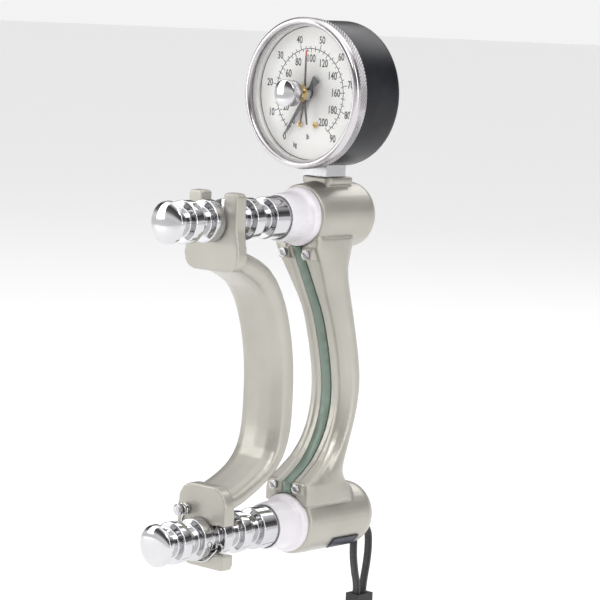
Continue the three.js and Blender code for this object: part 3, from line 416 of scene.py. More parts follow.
def newMaterial(settings):
    # A material with grain, tone drift and handling marks from one settings dictionary.
    material = bpy.data.materials.new(settings["name"])
    material.use_nodes = True
    tree = material.node_tree
    shader = tree.nodes["Principled BSDF"]
    for label, value in settings.get("sockets", {}).items():
        shader.inputs[label].default_value = value
    grain = addNode(tree, "ShaderNodeGroup", node_tree=surfaceGrain)
    grain.inputs["Fine"].default_value = settings.get("fine", 900.0)
    grain.inputs["Broad"].default_value = settings.get("broad", 30.0)
    tones = addNode(tree, "ShaderNodeValToRGB")
    tones.color_ramp.elements[0].position = 0.3
    tones.color_ramp.elements[0].color = (*settings["dark"], 1)
    tones.color_ramp.elements[1].position = 0.7
    tones.color_ramp.elements[1].color = (*settings["light"], 1)
    marks = addNode(tree, "ShaderNodeGroup", node_tree=handlingMarks)
    marks.inputs["Clean"].default_value, marks.inputs["Dull"].default_value = settings["roughness"]
    bump = addNode(tree, "ShaderNodeBump", {"Strength": settings.get("bump", 0.15), "Distance": 0.0002})
    wire(tree, (grain.outputs["Tone"], tones.inputs[0]), (tones.outputs[0], shader.inputs["Base Color"]),
         (marks.outputs[0], shader.inputs["Roughness"]), (grain.outputs["Height"], bump.inputs["Height"]),
         (bump.outputs[0], shader.inputs["Normal"]))
    return material


castPaint = newMaterial({"name": "castPaint", "dark": (0.4, 0.385, 0.34), "light": (0.49, 0.475, 0.425),
                         "roughness": (0.3, 0.44), "bump": 0.22, "fine": 1400.0, "broad": 22.0,
                         "sockets": {"Metallic": 0.5, "Coat Weight": 0.25, "Coat Roughness": 0.25}})
polishedChrome = newMaterial({"name": "polishedChrome",
                              "dark": (0.56, 0.56, 0.58), "light": (0.68, 0.68, 0.69),
                              "roughness": (0.03, 0.1), "bump": 0.03, "fine": 500.0,
                              "sockets": {"Metallic": 1.0}})
bezelChrome = newMaterial({"name": "bezelChrome", "dark": (0.52, 0.5, 0.515), "light": (0.63, 0.605, 0.62),
                           "roughness": (0.2, 0.32), "bump": 0.05, "sockets": {"Metallic": 1.0}})
# Chrome on the knurls, darker than the plain chrome: painted shade between the teeth.
knurledChrome = newMaterial({"name": "knurledChrome", "dark": (0.27, 0.26, 0.27), "light": (0.4, 0.385, 0.4),
                             "roughness": (0.24, 0.38), "bump": 0.05, "sockets": {"Metallic": 1.0}})
whiteNylon = newMaterial({"name": "whiteNylon", "dark": (0.74, 0.71, 0.745), "light": (0.80, 0.775, 0.81),
                          "roughness": (0.24, 0.36), "bump": 0.06, "broad": 40.0,
                          "sockets": {"Subsurface Weight": 0.25, "Subsurface Scale": 0.003,
                                     "Coat Weight": 0.2,
                                     "Subsurface Radius": (1.0, 0.9, 1.0)}})
greenPaint = newMaterial({"name": "greenPaint", "dark": (0.15, 0.205, 0.165), "light": (0.205, 0.27, 0.22),
                          "roughness": (0.3, 0.5), "bump": 0.2, "fine": 1200.0, "sockets": {"Metallic": 0.2}})
plainSteel = newMaterial({"name": "plainSteel", "dark": (0.48, 0.48, 0.49), "light": (0.66, 0.66, 0.67),
                          "roughness": (0.2, 0.42), "bump": 0.12, "sockets": {"Metallic": 1.0}})
turnedBrass = newMaterial({"name": "turnedBrass", "dark": (0.6, 0.42, 0.17), "light": (0.76, 0.56, 0.26),
                           "roughness": (0.2, 0.38), "bump": 0.08, "sockets": {"Metallic": 1.0}})
blackEnamel = newMaterial({"name": "blackEnamel",
                           "dark": (0.009, 0.0095, 0.012), "light": (0.02, 0.021, 0.026),
                           "roughness": (0.3, 0.42), "bump": 0.2, "fine": 1600.0, "broad": 60.0,
                           "sockets": {"Specular IOR Level": 0.22}})
clearLens = newMaterial({"name": "clearLens", "dark": (0.93, 0.95, 0.96), "light": (0.98, 0.99, 1.0),
                         "roughness": (0.02, 0.05), "bump": 0.0, "sockets": {"Alpha": 0.035}})
dialWhite = newMaterial({"name": "dialWhite", "dark": (0.86, 0.855, 0.83), "light": (0.92, 0.915, 0.895),
                         "roughness": (0.45, 0.6), "bump": 0.03, "broad": 50.0})
dialInk = newMaterial({"name": "dialInk", "dark": (0.035, 0.033, 0.035), "light": (0.07, 0.065, 0.066),
                       "roughness": (0.5, 0.65), "bump": 0.0, "broad": 400.0})
pointerGrey = newMaterial({"name": "pointerGrey", "dark": (0.04, 0.045, 0.05), "light": (0.09, 0.095, 0.105),
                           "roughness": (0.32, 0.5), "bump": 0.05})
paleRubber = newMaterial({"name": "paleRubber", "dark": (0.62, 0.61, 0.6), "light": (0.72, 0.71, 0.7),
                          "roughness": (0.5, 0.7), "bump": 0.1})
blackRubber = newMaterial({"name": "blackRubber", "dark": (0.012, 0.012, 0.012), "light": (0.03, 0.03, 0.03),
                           "roughness": (0.6, 0.8), "bump": 0.3})
sliderPlastic = newMaterial({"name": "sliderPlastic",
                             "dark": (0.008, 0.008, 0.009), "light": (0.018, 0.018, 0.02),
                             "roughness": (0.28, 0.42), "bump": 0.1})
labelFoil = newMaterial({"name": "labelFoil", "dark": (0.018, 0.02, 0.035), "light": (0.035, 0.04, 0.065),
                         "roughness": (0.25, 0.38), "bump": 0.05, "sockets": {"Metallic": 0.4}})


peakTip = 16.5


def peakPaint():
    # Dark lacquer on the peak pointer, red from this far above the gauge's middle.
    material = newMaterial({"name": "peakPaint", "dark": (0.42, 0.05, 0.035), "light": (0.55, 0.075, 0.05),
                            "roughness": (0.35, 0.5), "bump": 0.04})
    tree = material.node_tree
    shader = tree.nodes["Principled BSDF"]
    red = shader.inputs["Base Color"].links[0].from_socket
    place = addNode(tree, "ShaderNodeTexCoord")
    apart = addNode(tree, "ShaderNodeSeparateXYZ")
    tip = addNode(tree, "ShaderNodeMath", operation="GREATER_THAN")
    tip.inputs[1].default_value = gaugeZ + peakTip * mm
    blend = addNode(tree, "ShaderNodeMix", data_type="RGBA")
    blend.inputs["A"].default_value = (0.06, 0.035, 0.03, 1)
    wire(tree, (place.outputs["Object"], apart.inputs[0]), (apart.outputs["Z"], tip.inputs[0]),
         (tip.outputs[0], blend.inputs["Factor"]), (red, blend.inputs["B"]),
         (blend.outputs["Result"], shader.inputs["Base Color"]))
    return material


def strapBraid():
    # Flat black braid: slanted yarns crossing each way, laid along the strap by its own map.
    material = bpy.data.materials.new("strapBraid")
    material.use_nodes = True
    tree = material.node_tree
    shader = tree.nodes["Principled BSDF"]
    shader.inputs["Sheen Weight"].default_value = 0.4
    shader.inputs["Sheen Roughness"].default_value = 0.45
    shader.inputs["Roughness"].default_value = 0.75
    place = addNode(tree, "ShaderNodeTexCoord")
    waves = []
    for slant in (0.7, -0.7):
        lean = addNode(tree, "ShaderNodeMapping", {"Rotation": (0, 0, slant)})
        wave = addNode(tree, "ShaderNodeTexWave", {"Scale": 1.1, "Distortion": 0.4}, bands_direction="X")
        wire(tree, (place.outputs["UV"], lean.inputs["Vector"]), (lean.outputs[0], wave.inputs["Vector"]))
        waves.append(wave.outputs["Fac"])
    yarn = calculate(tree, "MAXIMUM", waves[0], waves[1])
    tones = addNode(tree, "ShaderNodeValToRGB")
    tones.color_ramp.elements[0].color = (0.004, 0.004, 0.005, 1)
    tones.color_ramp.elements[1].color = (0.028, 0.028, 0.031, 1)
    bump = addNode(tree, "ShaderNodeBump", {"Strength": 0.8, "Distance": 0.0003})
    wire(tree, (yarn, tones.inputs[0]), (tones.outputs[0], shader.inputs["Base Color"]),
         (yarn, bump.inputs["Height"]), (bump.outputs[0], shader.inputs["Normal"]))
    return material


peakLacquer, blackBraid = peakPaint(), strapBraid()
print("materials made")

# Wrist strap
strapSettings = {
    "route": [
        (5, 4.6, -72.5), (5, 4.6, -78), (5.1, 4.8, -84), (5.4, 5.8, -91), (5.9, 6.9, -97), (6, 7.1, -101.5),
        (6, 7.1, -107.5), (6, 4.5, -114), (6, -2, -124), (6, -9, -136), (6, -15, -150), (6, -18.5, -165),
        (6, -18, -180), (6, -12.5, -194), (6, -2, -203.5), (6, 11, -206.5), (6, 24, -202.5), (6, 33.5, -192),
        (6, 37.5, -178), (6, 37, -163), (6, 33, -148), (6, 27, -135), (6, 19, -122), (6, 13.5, -114),
        (6, 11.3, -107.5), (6, 11.3, -101.5), (5.9, 12, -96), (5.5, 14, -88), (5.1, 15.2, -80.5),
        (5, 14.6, -73.5), (5, 11.8, -69.6), (5, 7.2, -69),
    ],
    "width": 3.8, "thickness": 2.2, "sides": 20, "stepsPerSpan": 20, "crown": 0.6, "exitPoint": 1,
}


def smoothRoute(points, stepsPerSpan):
    # Points of a centripetal curve through the given ones.
    points = [Vector(p) for p in points]
    points = [2 * points[0] - points[1], *points, 2 * points[-1] - points[-2]]
    result = []
    for a, b, c, d in zip(points, points[1:], points[2:], points[3:]):
        t1 = (b - a).length ** 0.5
        t2 = t1 + (c - b).length ** 0.5
        t3 = t2 + (d - c).length ** 0.5
        for step in range(stepsPerSpan):
            t = t1 + (t2 - t1) * step / stepsPerSpan
            ab = a * ((t1 - t) / t1) + b * (t / t1)
            bc = b * ((t2 - t) / (t2 - t1)) + c * ((t - t1) / (t2 - t1))
            cd = c * ((t3 - t) / (t3 - t2)) + d * ((t - t2) / (t3 - t2))
            left = ab * ((t2 - t) / t2) + bc * (t / t2)
            right = bc * ((t3 - t) / (t3 - t1)) + cd * ((t - t1) / (t3 - t1))
            result.append(left * ((t2 - t) / (t2 - t1)) + right * ((t - t1) / (t2 - t1)))
    return [*result, points[-2]]


def sweptPiece(name, path, outline, across):
    # Sweeps a closed outline of (across, off) points along a path, and maps it for a weave.
    vertices, faces, uvs = [], [], []
    count = len(outline)
    girth = [0.0]
    for first, second in zip(outline, [*outline[1:], outline[0]]):
        girth.append(girth[-1] + math.dist(first, second))
    run = 0.0
    for index, point in enumerate(path):
        ahead = path[min(index + 1, len(path) - 1)]
        behind = path[max(index - 1, 0)]
        along = (ahead - behind).normalized()
        side = (across - along * across.dot(along)).normalized()
        off = along.cross(side)
        run += (point - path[index - 1]).length if index else 0
        for a, b in outline:
            vertices.append(point + side * a + off * b)
        uvs.append(run)
    for row in range(len(path) - 1):
        for column in range(count):
            after = (column + 1) % count
            faces.append((row * count + column, row * count + after,
                          (row + 1) * count + after, (row + 1) * count + column))
    faces.append(tuple(range(count)))
    faces.append(tuple(range(len(vertices) - count, len(vertices))))
    piece = newPiece(name, vertices, faces)
    layer = piece.data.uv_layers.new(name="weave")
    for face, polygon in enumerate(piece.data.polygons[:-2]):
        row, column = divmod(face, count)
        corners = [(column, row), (column + 1, row), (column + 1, row + 1), (column, row + 1)]
        for loop, (u, v) in zip(polygon.loop_indices, corners):
            layer.data[loop].uv = (girth[u] / mm, uvs[v] / mm)
    work = bmesh.new()
    work.from_mesh(piece.data)
    bmesh.ops.recalc_face_normals(work, faces=work.faces)
    work.to_mesh(piece.data)
    work.free()
    return piece


def makeStrap(settings):
    route = [Vector(p) * mm for p in settings["route"]]
    path = smoothRoute(route, settings["stepsPerSpan"])
    half = Vector((settings["width"], settings["thickness"])) / 2 * mm
    outline = []
    for step in range(settings["sides"]):
        angle = 2 * math.pi * step / settings["sides"]
        cosine, sine = math.cos(angle), math.sin(angle)
        outline.append((math.copysign(abs(cosine) ** settings["crown"], cosine) * half.x,
                        math.copysign(abs(sine) ** settings["crown"], sine) * half.y))
    strap = sweptPiece("wristStrap", path, outline, Vector((1, 0, 0)))
    setOff(strap, "frame", "strap_braid", blackBraid, "wrist_cord")


makeStrap(strapSettings)


# Posts
postSettings = {
    "radius": 9.45, "grooveRadius": 6.0, "grooveWidth": 7.3, "pitch": 12.7, "grooves": 5,
    "firstShoulder": 9.9, "crown": 2.2, "edge": 0.75, "rootFillet": 0.8, "segments": 128,
}


def makePost(side, z, settings):
    # A chromed post: a domed head, then a groove and a land at each handle position.
    radius, root = settings["radius"] * mm, settings["grooveRadius"] * mm
    dome = postFrontY + settings["crown"] * mm
    shoulder = postFrontY + (settings["firstShoulder"] + 0.7) * mm
    profile = [(0, postFrontY)]
    steps = 14
    for step in range(1, steps):
        angle = math.pi / 2 * step / steps
        profile.append((radius * 0.985 * math.sin(angle) ** 0.92,
                        dome - settings["crown"] * mm * math.cos(angle)))
    land = [(radius * 0.985, dome - 0.05 * mm), (radius, dome + 1.0 * mm)]
    for groove in range(settings["grooves"]):
        back = shoulder + groove * settings["pitch"] * mm
        front = back - settings["grooveWidth"] * mm
        land += [(radius, front, settings["edge"] * mm), (root, front, settings["rootFillet"] * mm),
                 (root, back, settings["rootFillet"] * mm), (radius, back, settings["edge"] * mm)]
    land += [(radius, postRearY, 0.0005), (0, postRearY)]
    profile += softenedProfile(land, settings["edge"] * mm)
    post = turnedPiece(side + "PostTurned", profile, z, segments=settings["segments"])
    return setOff(post, "grip", "chrome", polishedChrome, side + "_post")


makePost("upper", upperPostZ, postSettings)
makePost("lower", lowerPostZ, postSettings)


# Bushings
bushingSettings = {"nose": 10.9, "rim": 13.3, "bore": 9.75, "step": 0.62, "edge": 1.0}


def makeBushing(side, z, settings):
    # A white bushing: a straight sleeve that flares to a rounded rim against the casting.
    low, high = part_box(side + "_bushing")
    depth = high.y - low.y
    nose, rim, bore = (settings[label] * mm for label in ("nose", "rim", "bore"))
    edge = settings["edge"] * mm
    stepY = low.y + depth * settings["step"]
    profile = softenedProfile([
        (bore, high.y), (bore, low.y, edge * 0.6), (nose - 0.4 * mm, low.y, edge),
        (nose, low.y + 3 * mm, edge),
        (nose + 0.3 * mm, stepY, edge * 1.6), (rim, stepY + 1.6 * mm, edge * 1.5), (rim, high.y, edge * 0.5),
        (bore, high.y)], edge)
    bushing = turnedPiece(side + "BushingTurned", profile, z, segments=112)
    return setOff(bushing, "frame", "nylon", whiteNylon, side + "_bushing")


makeBushing("upper", upperPostZ, bushingSettings)
makeBushing("lower", lowerPostZ, bushingSettings)
print("posts and bushings made")


# Cast bow and handle
castSettings = {
    "bow": {"voxel": 0.6, "rounds": 8, "node": "body_casting", "body": "frame", "channelOf": "yoke_beam",
            "channelReach": 3.6, "lift": 0.3},
    "handle": {"voxel": 0.6, "rounds": 7, "node": "handle", "body": "handle"},
}


def sharpenChannel(piece, settings):
    # Machined faces stay true: what lies near the beam goes back on the plain casting.
    sources = []
    for node in (settings["node"], settings["channelOf"]):
        sharp = cadCopy(node + "Guide", node)
        bpy.context.view_layer.update()
        sources.append(BVHTree.FromObject(sharp, bpy.context.evaluated_depsgraph_get()))
        bpy.data.objects.remove(sharp)
    casting, beam = sources
    for vertex in piece.data.vertices:
        if beam.find_nearest(vertex.co, settings["channelReach"] * mm)[0]:
            spot, normal = casting.find_nearest(vertex.co)[:2]
            vertex.co = spot - normal * (settings["lift"] * mm)


def castPiece(name, settings):
    # A cast copy of a CAD node, with the softly rounded edges and joins of a painted casting.
    piece = cadCopy(name + "Cast", settings["node"])
    remesh = piece.modifiers.new("skin", "REMESH")
    remesh.mode = "VOXEL"
    remesh.voxel_size = settings["voxel"] * mm
    remesh.use_smooth_shade = True
    soften = piece.modifiers.new("soften", "SMOOTH")
    soften.factor = 0.5
    soften.iterations = settings["rounds"]
    applyModifiers(piece)
    if "channelOf" in settings:
        sharpenChannel(piece, settings)
    print(name, "cast with", len(piece.data.polygons), "faces")
    return setOff(piece, settings["body"], "cast_paint", castPaint, settings["node"])


for castName, castOptions in castSettings.items():
    castPiece(castName, castOptions)


def bevelledCopy(name, node, body, slot, material, width, angle=30):
    # A copy of a CAD node with small rounded edges.
    piece = cadCopy(name, node)
    bevel = piece.modifiers.new("edges", "BEVEL")
    bevel.width = width
    bevel.segments = 2
    bevel.limit_method = "ANGLE"
    bevel.angle_limit = math.radians(angle)
    bevel.harden_normals = True
    applyModifiers(piece)
    for polygon in piece.data.polygons:
        polygon.use_smooth = True
    return setOff(piece, body, slot, material, node)


bevelledCopy("yokePainted", "yoke_beam", "grip", "green_paint", greenPaint, 0.00035, 50)


# Gauge case, bezel and lens
bezelSettings = {"radius": 33.9, "window": 30.6, "teeth": 132, "rows": 5,
                 "spacing": 0.84, "toothWidth": 0.82, "toothHeight": 0.5}
caseSettings = {"radius": 32.8, "corner": 3.5, "wall": 1.5}


def makeBezel(settings):
    # A chromed ring with a rounded front lip and a diamond knurl round its rear half, the knurl in darker
    # chrome as painted shade between its teeth.
    low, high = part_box("bezel_ring")
    outer, window = settings["radius"] * mm, settings["window"] * mm
    knurlY = low.y + 3.4 * mm
    body = outer - settings["toothHeight"] * mm
    profile = softenedProfile([
        (window, low.y + 1.6 * mm), (window + 0.25 * mm, low.y + 0.7 * mm, 0.0005),
        (window + 1.0 * mm, low.y, 0.0009), (outer - 0.9 * mm, low.y + 0.1 * mm, 0.0014),
        (outer, low.y + 1.3 * mm, 0.001), (outer, knurlY - 0.45 * mm, 0.0002),
        (body, knurlY - 0.2 * mm, 0.0001), (body, high.y, 0.0002), (window + 1.0 * mm, high.y, 0.0003),
        (window + 1.0 * mm, low.y + 1.8 * mm, 0.0002),
        (window, low.y + 1.6 * mm)], 0.0004, steps=6)
    ring = turnedPiece("bezelTurned", profile, gaugeZ, segments=180)
    setOff(ring, "frame", "bezel_chrome", bezelChrome, "bezel_ring")
    knurl = newPiece("bezelKnurl", [(0, 0, 0)], [], smooth=False)
    runTree(knurl, knurlRows, {
        "Teeth": settings["teeth"], "Rows": settings["rows"], "Radius": body - 0.02 * mm,
        "Spacing": settings["spacing"] * mm, "Width": settings["toothWidth"] * mm,
        "Height": settings["toothHeight"] * mm, "Material": knurledChrome})
    knurl.data.transform(Matrix.Translation((0, knurlY + 0.55 * mm, gaugeZ)) @ faceRear)
    setOff(knurl, "frame", "bezel_chrome", knurledChrome)


makeBezel(bezelSettings)


def makeCase(settings):
    # A black case: an open cup with a rounded rear corner, and the white ring that lines its mouth.
    low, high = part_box("gauge_case")
    outer = settings["radius"] * mm
    inner = outer - settings["wall"] * mm
    profile = softenedProfile([
        (inner, low.y), (outer, low.y, 0.0005), (outer, high.y, settings["corner"] * mm), (0, high.y),
        (0, high.y - settings["wall"] * mm), (inner, high.y - settings["wall"] * mm), (inner, low.y)], 0.0004,
        steps=8)
    case = turnedPiece("caseTurned", profile, gaugeZ, segments=180)
    setOff(case, "frame", "black_enamel", blackEnamel, "gauge_case")
    lens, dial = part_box("gauge_lens")[1].y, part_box("dial_plate")[0].y
    ring = inner - 0.05 * mm
    liner = [(ring - 0.5 * mm, lens + 0.9 * mm), (ring - 1.3 * mm, dial - 0.05 * mm),
             (ring, dial - 0.05 * mm), (ring, lens + 0.9 * mm), (ring - 0.5 * mm, lens + 0.9 * mm)]
    setOff(turnedPiece("caseLiner", liner, gaugeZ, segments=128), "frame", "dial_white", dialWhite)


makeCase(caseSettings)


lensSettings = {"radius": 31.4, "hole": 4.9, "edge": 0.3}


def makeLens(settings):
    # A clear disc with a hole at its middle for the reset knob's bush.
    low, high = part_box("gauge_lens")
    radius, hole, edge = (settings[label] * mm for label in ("radius", "hole", "edge"))
    face = radius - 0.2 * mm
    profile = softenedProfile([
        (hole, low.y), (face, low.y), (radius, low.y + edge), (radius, high.y - edge),
        (face, high.y), (hole, high.y), (hole, low.y)], edge)
    lens = turnedPiece("lensTurned", profile, gaugeZ, segments=128)
    setOff(lens, "frame", "clear_plastic", clearLens, "gauge_lens")


makeLens(lensSettings)


# Dial
dialLow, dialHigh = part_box("dial_plate")
dialFaceY = dialLow.y
dialSettings = {
    "radius": 29.7, "hole": 2.2, "arc": 20.0, "arcWidth": 0.34, "tickWidth": 0.32,
    "condense": 0.74, "bold": 0.09, "zero": -145.0, "sweep": 290.0, "print": 0.05,
    "pounds": {"full": 200.0, "labels": 20, "small": 5, "every": 4, "short": 1.2, "long": 1.9, "side": -1,
               "letters": 4.9, "reach": 15.5},
    "kilograms": {"full": 90.7, "labels": 10, "small": 2.5, "every": 4, "short": 1.2, "long": 2.6, "side": 1,
                  "letters": 4.7, "reach": 24.6},
    "unitNames": {"kg": (-7.5, -23.5), "lb": (0.0, -19.6)}, "unitLetters": 3.2,
}


def dialPlace(angle, reach):
    return reach * mm * math.sin(angle), gaugeZ + reach * mm * math.cos(angle)


def writing(name, text, size, x, z):
    # Upright flat lettering on the dial, as a mesh.
    curve = bpy.data.curves.new(name, "FONT")
    curve.body = text
    curve.size = size * mm
    curve.align_x, curve.align_y = "CENTER", "CENTER"
    curve.offset = dialSettings["bold"] * mm
    curve.extrude = 0.02 * mm
    curve.resolution_u = 3
    holder = bpy.data.objects.new(name, curve)
    collection.objects.link(holder)
    bpy.context.view_layer.update()
    depsgraph = bpy.context.evaluated_depsgraph_get()
    mesh = bpy.data.meshes.new_from_object(holder.evaluated_get(depsgraph), depsgraph=depsgraph)
    bpy.data.objects.remove(holder)
    condense = Matrix.Diagonal((dialSettings["condense"], 1, 1, 1))
    mesh.transform(Matrix.Translation((x, dialFaceY - 0.03 * mm, z)) @ faceFront @ condense)
    piece = bpy.data.objects.new(name, mesh)
    collection.objects.link(piece)
    return piece


def joinPieces(name, pieces):
    # Joins plain meshes into the first of them.
    work = bmesh.new()
    for piece in pieces:
        work.from_mesh(piece.data)
    mesh = bpy.data.meshes.new(name)
    work.to_mesh(mesh)
    work.free()
    for piece in pieces:
        bpy.data.objects.remove(piece)
    joined = bpy.data.objects.new(name, mesh)
    collection.objects.link(joined)
    return joined


def makeScale(name, settings, scale):
    # Ticks on one side of the arc and upright numbers beyond them.
    perUnit = math.radians(settings["sweep"]) / scale["full"]
    ticks = newPiece(name + "Ticks", [(0, 0, 0)], [], smooth=False)
    runTree(ticks, dialTicks, {
        "Count": int(scale["full"] / scale["small"] + 1e-6) + 1, "Every": scale["every"],
        "First": math.radians(settings["zero"]), "Step": perUnit * scale["small"],
        "Radius": settings["arc"] * mm, "Short": scale["short"] * mm, "Long": scale["long"] * mm,
        "Width": settings["tickWidth"] * mm, "Depth": settings["print"] * mm,
        "Side": float(scale["side"]), "Material": dialInk})
    ticks.data.transform(Matrix.Translation((0, dialFaceY - 0.025 * mm, gaugeZ)))
    marks = [ticks]
    for value in range(0, int(scale["full"]) + 1, scale["labels"]):
        angle = math.radians(settings["zero"]) + value * perUnit
        x, z = dialPlace(angle, scale["reach"])
        marks.append(writing(f"{name}{value}", str(value), scale["letters"], x, z))
    return marks


def makeDial(settings):
    # A white plate with its printing: the arc, both scales and the names of the units.
    radius, hole = settings["radius"] * mm, settings["hole"] * mm
    profile = softenedProfile([
        (hole, dialLow.y), (radius, dialLow.y), (radius, dialHigh.y), (hole, dialHigh.y),
        (hole, dialLow.y)], 0.0001)
    plate = turnedPiece("dialPlate", profile, gaugeZ, segments=128)
    setOff(plate, "frame", "dial_white", dialWhite, "dial_plate")
    vertices, faces = [], []
    steps = 160
    half = settings["arcWidth"] / 2
    for step in range(steps + 1):
        angle = math.radians(settings["zero"] + settings["sweep"] * step / steps)
        for reach in (settings["arc"] - half, settings["arc"] + half):
            for lift in (0.0, settings["print"]):
                x, z = dialPlace(angle, reach)
                vertices.append((x, dialFaceY - lift * mm, z))
    for step in range(steps):
        a, b = step * 4, step * 4 + 4
        for first, second in ((0, 1), (1, 3), (3, 2), (2, 0)):
            faces.append((a + first, a + second, b + second, b + first))
    faces += [(0, 2, 3, 1), tuple(len(vertices) - 4 + corner for corner in (0, 1, 3, 2))]
    prints = [pointOutward(newPiece("dialArc", vertices, faces, smooth=False))]
    prints += makeScale("pounds", settings, settings["pounds"])
    prints += makeScale("kilograms", settings, settings["kilograms"])
    for unit, (x, rise) in settings["unitNames"].items():
        prints.append(writing(unit, unit, settings["unitLetters"], x * mm, gaugeZ + rise * mm))
    printed = joinPieces("dialPrint", prints)
    setOff(printed, "frame", "pointer_black", dialInk)


makeDial(dialSettings)
print("dial made")


# Screws, by copies on points
screwSettings = {"radius": 2.1, "height": 1.0, "slotWidth": 0.55, "slotDepth": 0.5}


def slottedScrew(name, radius, height, slotWidth, slotDepth, slotTurn=28, edge=0.25):
    # A round cheese head facing the front, centred on its seat, with a slot across it.
    profile = softenedProfile([(0, -height * mm), (radius * mm, -height * mm), (radius * mm, 0), (0, 0)],
                              edge * mm)
    head = turnedPiece(name, profile, 0, segments=40)
    slot = boxMesh((2.4 * radius, 2 * slotDepth, slotWidth), (0, -height, 0))
    cutter = newPiece(name + "Slot", *slot, smooth=False)
    cut = head.modifiers.new("slot", "BOOLEAN")
    cut.object = cutter
    cut.solver = "EXACT"
    cutter.data.transform(Matrix.Rotation(math.radians(slotTurn), 4, "Y"))
    bpy.context.view_layer.update()
    applyModifiers(head)
    bpy.data.objects.remove(cutter)
    return head


def boxMesh(size, middle):
    # The corners and faces of a box, from millimetres.
    x, y, z = (value / 2 * mm for value in size)
    cx, cy, cz = (value * mm for value in middle)
    vertices = [(cx + i * x, cy + j * y, cz + k * z) for i in (-1, 1) for j in (-1, 1) for k in (-1, 1)]
    faces = [(0, 1, 3, 2), (4, 6, 7, 5), (0, 4, 5, 1), (2, 3, 7, 6), (0, 2, 6, 4), (1, 5, 7, 3)]
    return vertices, faces


def placeScrews(name, nodes, settings, body, slot, material):
    # One slotted head over each of these CAD screws.
    pattern = slottedScrew(name + "Pattern", settings["radius"], settings["height"],
                           settings["slotWidth"], settings["slotDepth"])
    seats = []
    for node in nodes:
        low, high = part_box(node)
        seats.append(((low.x + high.x) / 2, low.y + settings["height"] * mm, (low.z + high.z) / 2))
    screws = newPiece(name, seats, [])
    runTree(screws, screwsOnPoints, {"Screw": pattern, "Material": material})
    bpy.data.objects.remove(pattern)
    setOff(screws, body, slot, material, *nodes)


landScrews = [f"{side}_land_screw_{hand}" for side in ("upper", "lower") for hand in ("left", "right")]
placeScrews("landScrews", landScrews, screwSettings, "frame", "steel", plainSteel)
placeScrews("dialScrews", ["dial_screw_left", "dial_screw_right"],
            {"radius": 1.5, "height": 0.6, "slotWidth": 0.4, "slotDepth": 0.25},
            "frame", "brass", turnedBrass)
print("screws made")


# Reset knob
knobSettings = {"radius": 6.0, "teeth": 34, "rows": 6, "spacing": 0.74,
                "toothWidth": 0.62, "toothHeight": 0.5, "domeTurn": 1.15, "domeRise": 0.75,
                "domeSteps": 8}


def makeKnob(settings):
    # A polished domed knob with a knurled side in darker chrome as painted shade between its teeth, on a
    # brass shaft.
    low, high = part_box("reset_knob")
    radius = settings["radius"] * mm
    side = radius - settings["toothHeight"] * mm
    front, rim, back = low.y, low.y + 1.5 * mm, low.y + 6.9 * mm
    turn, steps = settings["domeTurn"], settings["domeSteps"]
    dome = []
    for step in range(steps + 1):
        angle = turn * step / steps
        dome.append((radius * math.sin(angle) / math.sin(turn),
                     front + settings["domeRise"] * mm * (1 - math.cos(angle)) / (1 - math.cos(turn))))
    profile = dome + softenedProfile([
        (radius, front + 0.9 * mm), (radius, rim, 0.0002), (side - 0.3 * mm, rim + 0.05 * mm, 0.0001),
        (side - 0.3 * mm, rim + 0.5 * mm, 0.0001), (side, rim + 0.55 * mm, 0.0001),
        (side, back - 0.4 * mm, 0.0002),
        (side * 0.93, back, 0.0002), (3.2 * mm, back), (3.2 * mm, high.y), (0, high.y)], 0.0003, steps=6)
    knob = turnedPiece("knobTurned", profile, gaugeZ, segments=96)
    setOff(knob, "peak", "bezel_chrome", polishedChrome, "reset_knob")
    knurl = newPiece("knobKnurl", [(0, 0, 0)], [], smooth=False)
    runTree(knurl, knurlRows, {
        "Teeth": settings["teeth"], "Rows": settings["rows"], "Radius": side - 0.02 * mm,
        "Spacing": settings["spacing"] * mm, "Width": settings["toothWidth"] * mm,
        "Height": settings["toothHeight"] * mm, "Material": knurledChrome})
    knurl.data.transform(Matrix.Translation((0, rim + 1.0 * mm, gaugeZ)) @ faceRear)
    setOff(knurl, "peak", "bezel_chrome", knurledChrome)


makeKnob(knobSettings)


# CAD pieces kept as they are
keptFinishes = {
    "hydraulic_cell": plainSteel, "piston": plainSteel, "diaphragm": blackRubber, "gauge_stem": plainSteel,
    "lens_gasket": paleRubber, "lens_bush": turnedBrass, "movement_frame": turnedBrass,
    "bourdon_tube": turnedBrass, "hairspring": plainSteel, "sector_gear": turnedBrass,
    "pinion_arbor": turnedBrass, "link": plainSteel, "link_screw": plainSteel, "upper_post_pin": plainSteel,
    "lower_post_pin": plainSteel, "clip_screw": plainSteel, "retaining_clip": polishedChrome,
    "pointer": pointerGrey, "peak_pointer": peakLacquer, "label_plate": labelFoil,
    "cord_slider": sliderPlastic,
}


def paintCadPieces(finishes):
    for part in bpy.data.objects:
        finish = finishes.get(part.get("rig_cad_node"))
        if finish:
            part.data.materials.clear()
            part.data.materials.append(finish)


paintCadPieces(keptFinishes)
print("CAD pieces painted")


# Floor, lights and sky
studioSettings = {
    "floor": {"colour": (0.95, 0.95, 0.95), "roughness": 0.85, "radius": 40.0, "drop": 0.004, "sides": 64},
    "aim": (0, -0.05, 0.03),
    "lights": [
        {"name": "key", "place": (1.1, -1.3, 1.8), "size": (1.0, 1.0), "power": 15},
        {"name": "left", "place": (-1.5, -1.3, 0.8), "size": (0.6, 1.7), "power": 13},
        {"name": "right", "place": (1.9, 0.2, 0.7), "size": (0.4, 1.6), "power": 9},
        {"name": "back", "place": (-0.3, 1.7, 1.6), "size": (1.8, 0.9), "power": 10},
    ],
    "sky": [(0.0, (0.9, 0.9, 0.9)), (0.53, (0.9, 0.9, 0.9)), (0.58, (0.16, 0.155, 0.155)),
            (0.7, (0.06, 0.055, 0.055)), (0.82, (0.6, 0.6, 0.61)), (1.0, (1.9, 1.9, 1.9))],
    "skyStrength": 1.0,
}


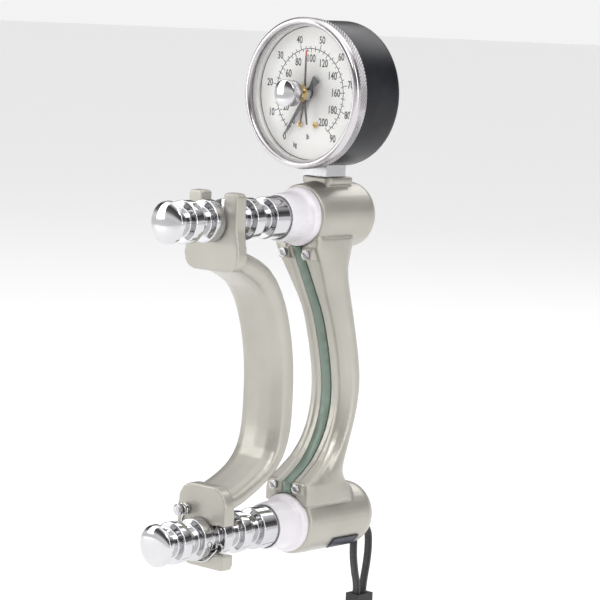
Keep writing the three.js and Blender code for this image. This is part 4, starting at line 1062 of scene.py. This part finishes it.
def makeFloor(settings):
    drop = cadBox[0].z - settings["drop"]
    vertices = [(0, 0, drop)]
    sides = settings["sides"]
    for step in range(sides):
        angle = 2 * math.pi * step / sides
        vertices.append((settings["radius"] * math.cos(angle), settings["radius"] * math.sin(angle), drop))
    faces = [(0, 1 + step, 1 + (step + 1) % sides) for step in range(sides)]
    floor = newPiece("floor", vertices, faces, smooth=False)
    material = bpy.data.materials.new("paleFloor")
    material.use_nodes = True
    shader = material.node_tree.nodes["Principled BSDF"]
    shader.inputs["Base Color"].default_value = (*settings["colour"], 1)
    shader.inputs["Roughness"].default_value = settings["roughness"]
    floor.data.materials.append(material)


def makeLights(lights, aim):
    for settings in lights:
        data = bpy.data.lights.new(settings["name"], "AREA")
        data.shape = "RECTANGLE"
        data.size, data.size_y = settings["size"]
        data.energy = settings["power"]
        lamp = bpy.data.objects.new(settings["name"], data)
        lamp.location = settings["place"]
        lamp.rotation_euler = (Vector(aim) - lamp.location).to_track_quat("-Z", "Y").to_euler()
        collection.objects.link(lamp)


def makeSky(stops, strength):
    world = bpy.data.worlds.new("studioSky")
    world.use_nodes = True
    tree = world.node_tree
    background = tree.nodes["Background"]
    background.inputs["Strength"].default_value = strength
    look = addNode(tree, "ShaderNodeTexCoord")
    apart = addNode(tree, "ShaderNodeSeparateXYZ")
    height = addNode(tree, "ShaderNodeMapRange", {"From Min": -1.0, "From Max": 1.0})
    ramp = addNode(tree, "ShaderNodeValToRGB")
    for position, colour in stops[1:-1]:
        ramp.color_ramp.elements.new(position)
    for element, (position, colour) in zip(ramp.color_ramp.elements, stops):
        element.position = position
        element.color = (*colour, 1)
    wire(tree, (look.outputs["Generated"], apart.inputs[0]), (apart.outputs["Z"], height.inputs["Value"]),
         (height.outputs[0], ramp.inputs[0]), (ramp.outputs[0], background.inputs["Color"]))
    scene.world = world


scene.view_settings.view_transform = "Standard"
makeFloor(studioSettings["floor"])
makeLights(studioSettings["lights"], studioSettings["aim"])
makeSky(studioSettings["sky"], studioSettings["skyStrength"])
print("studio made")
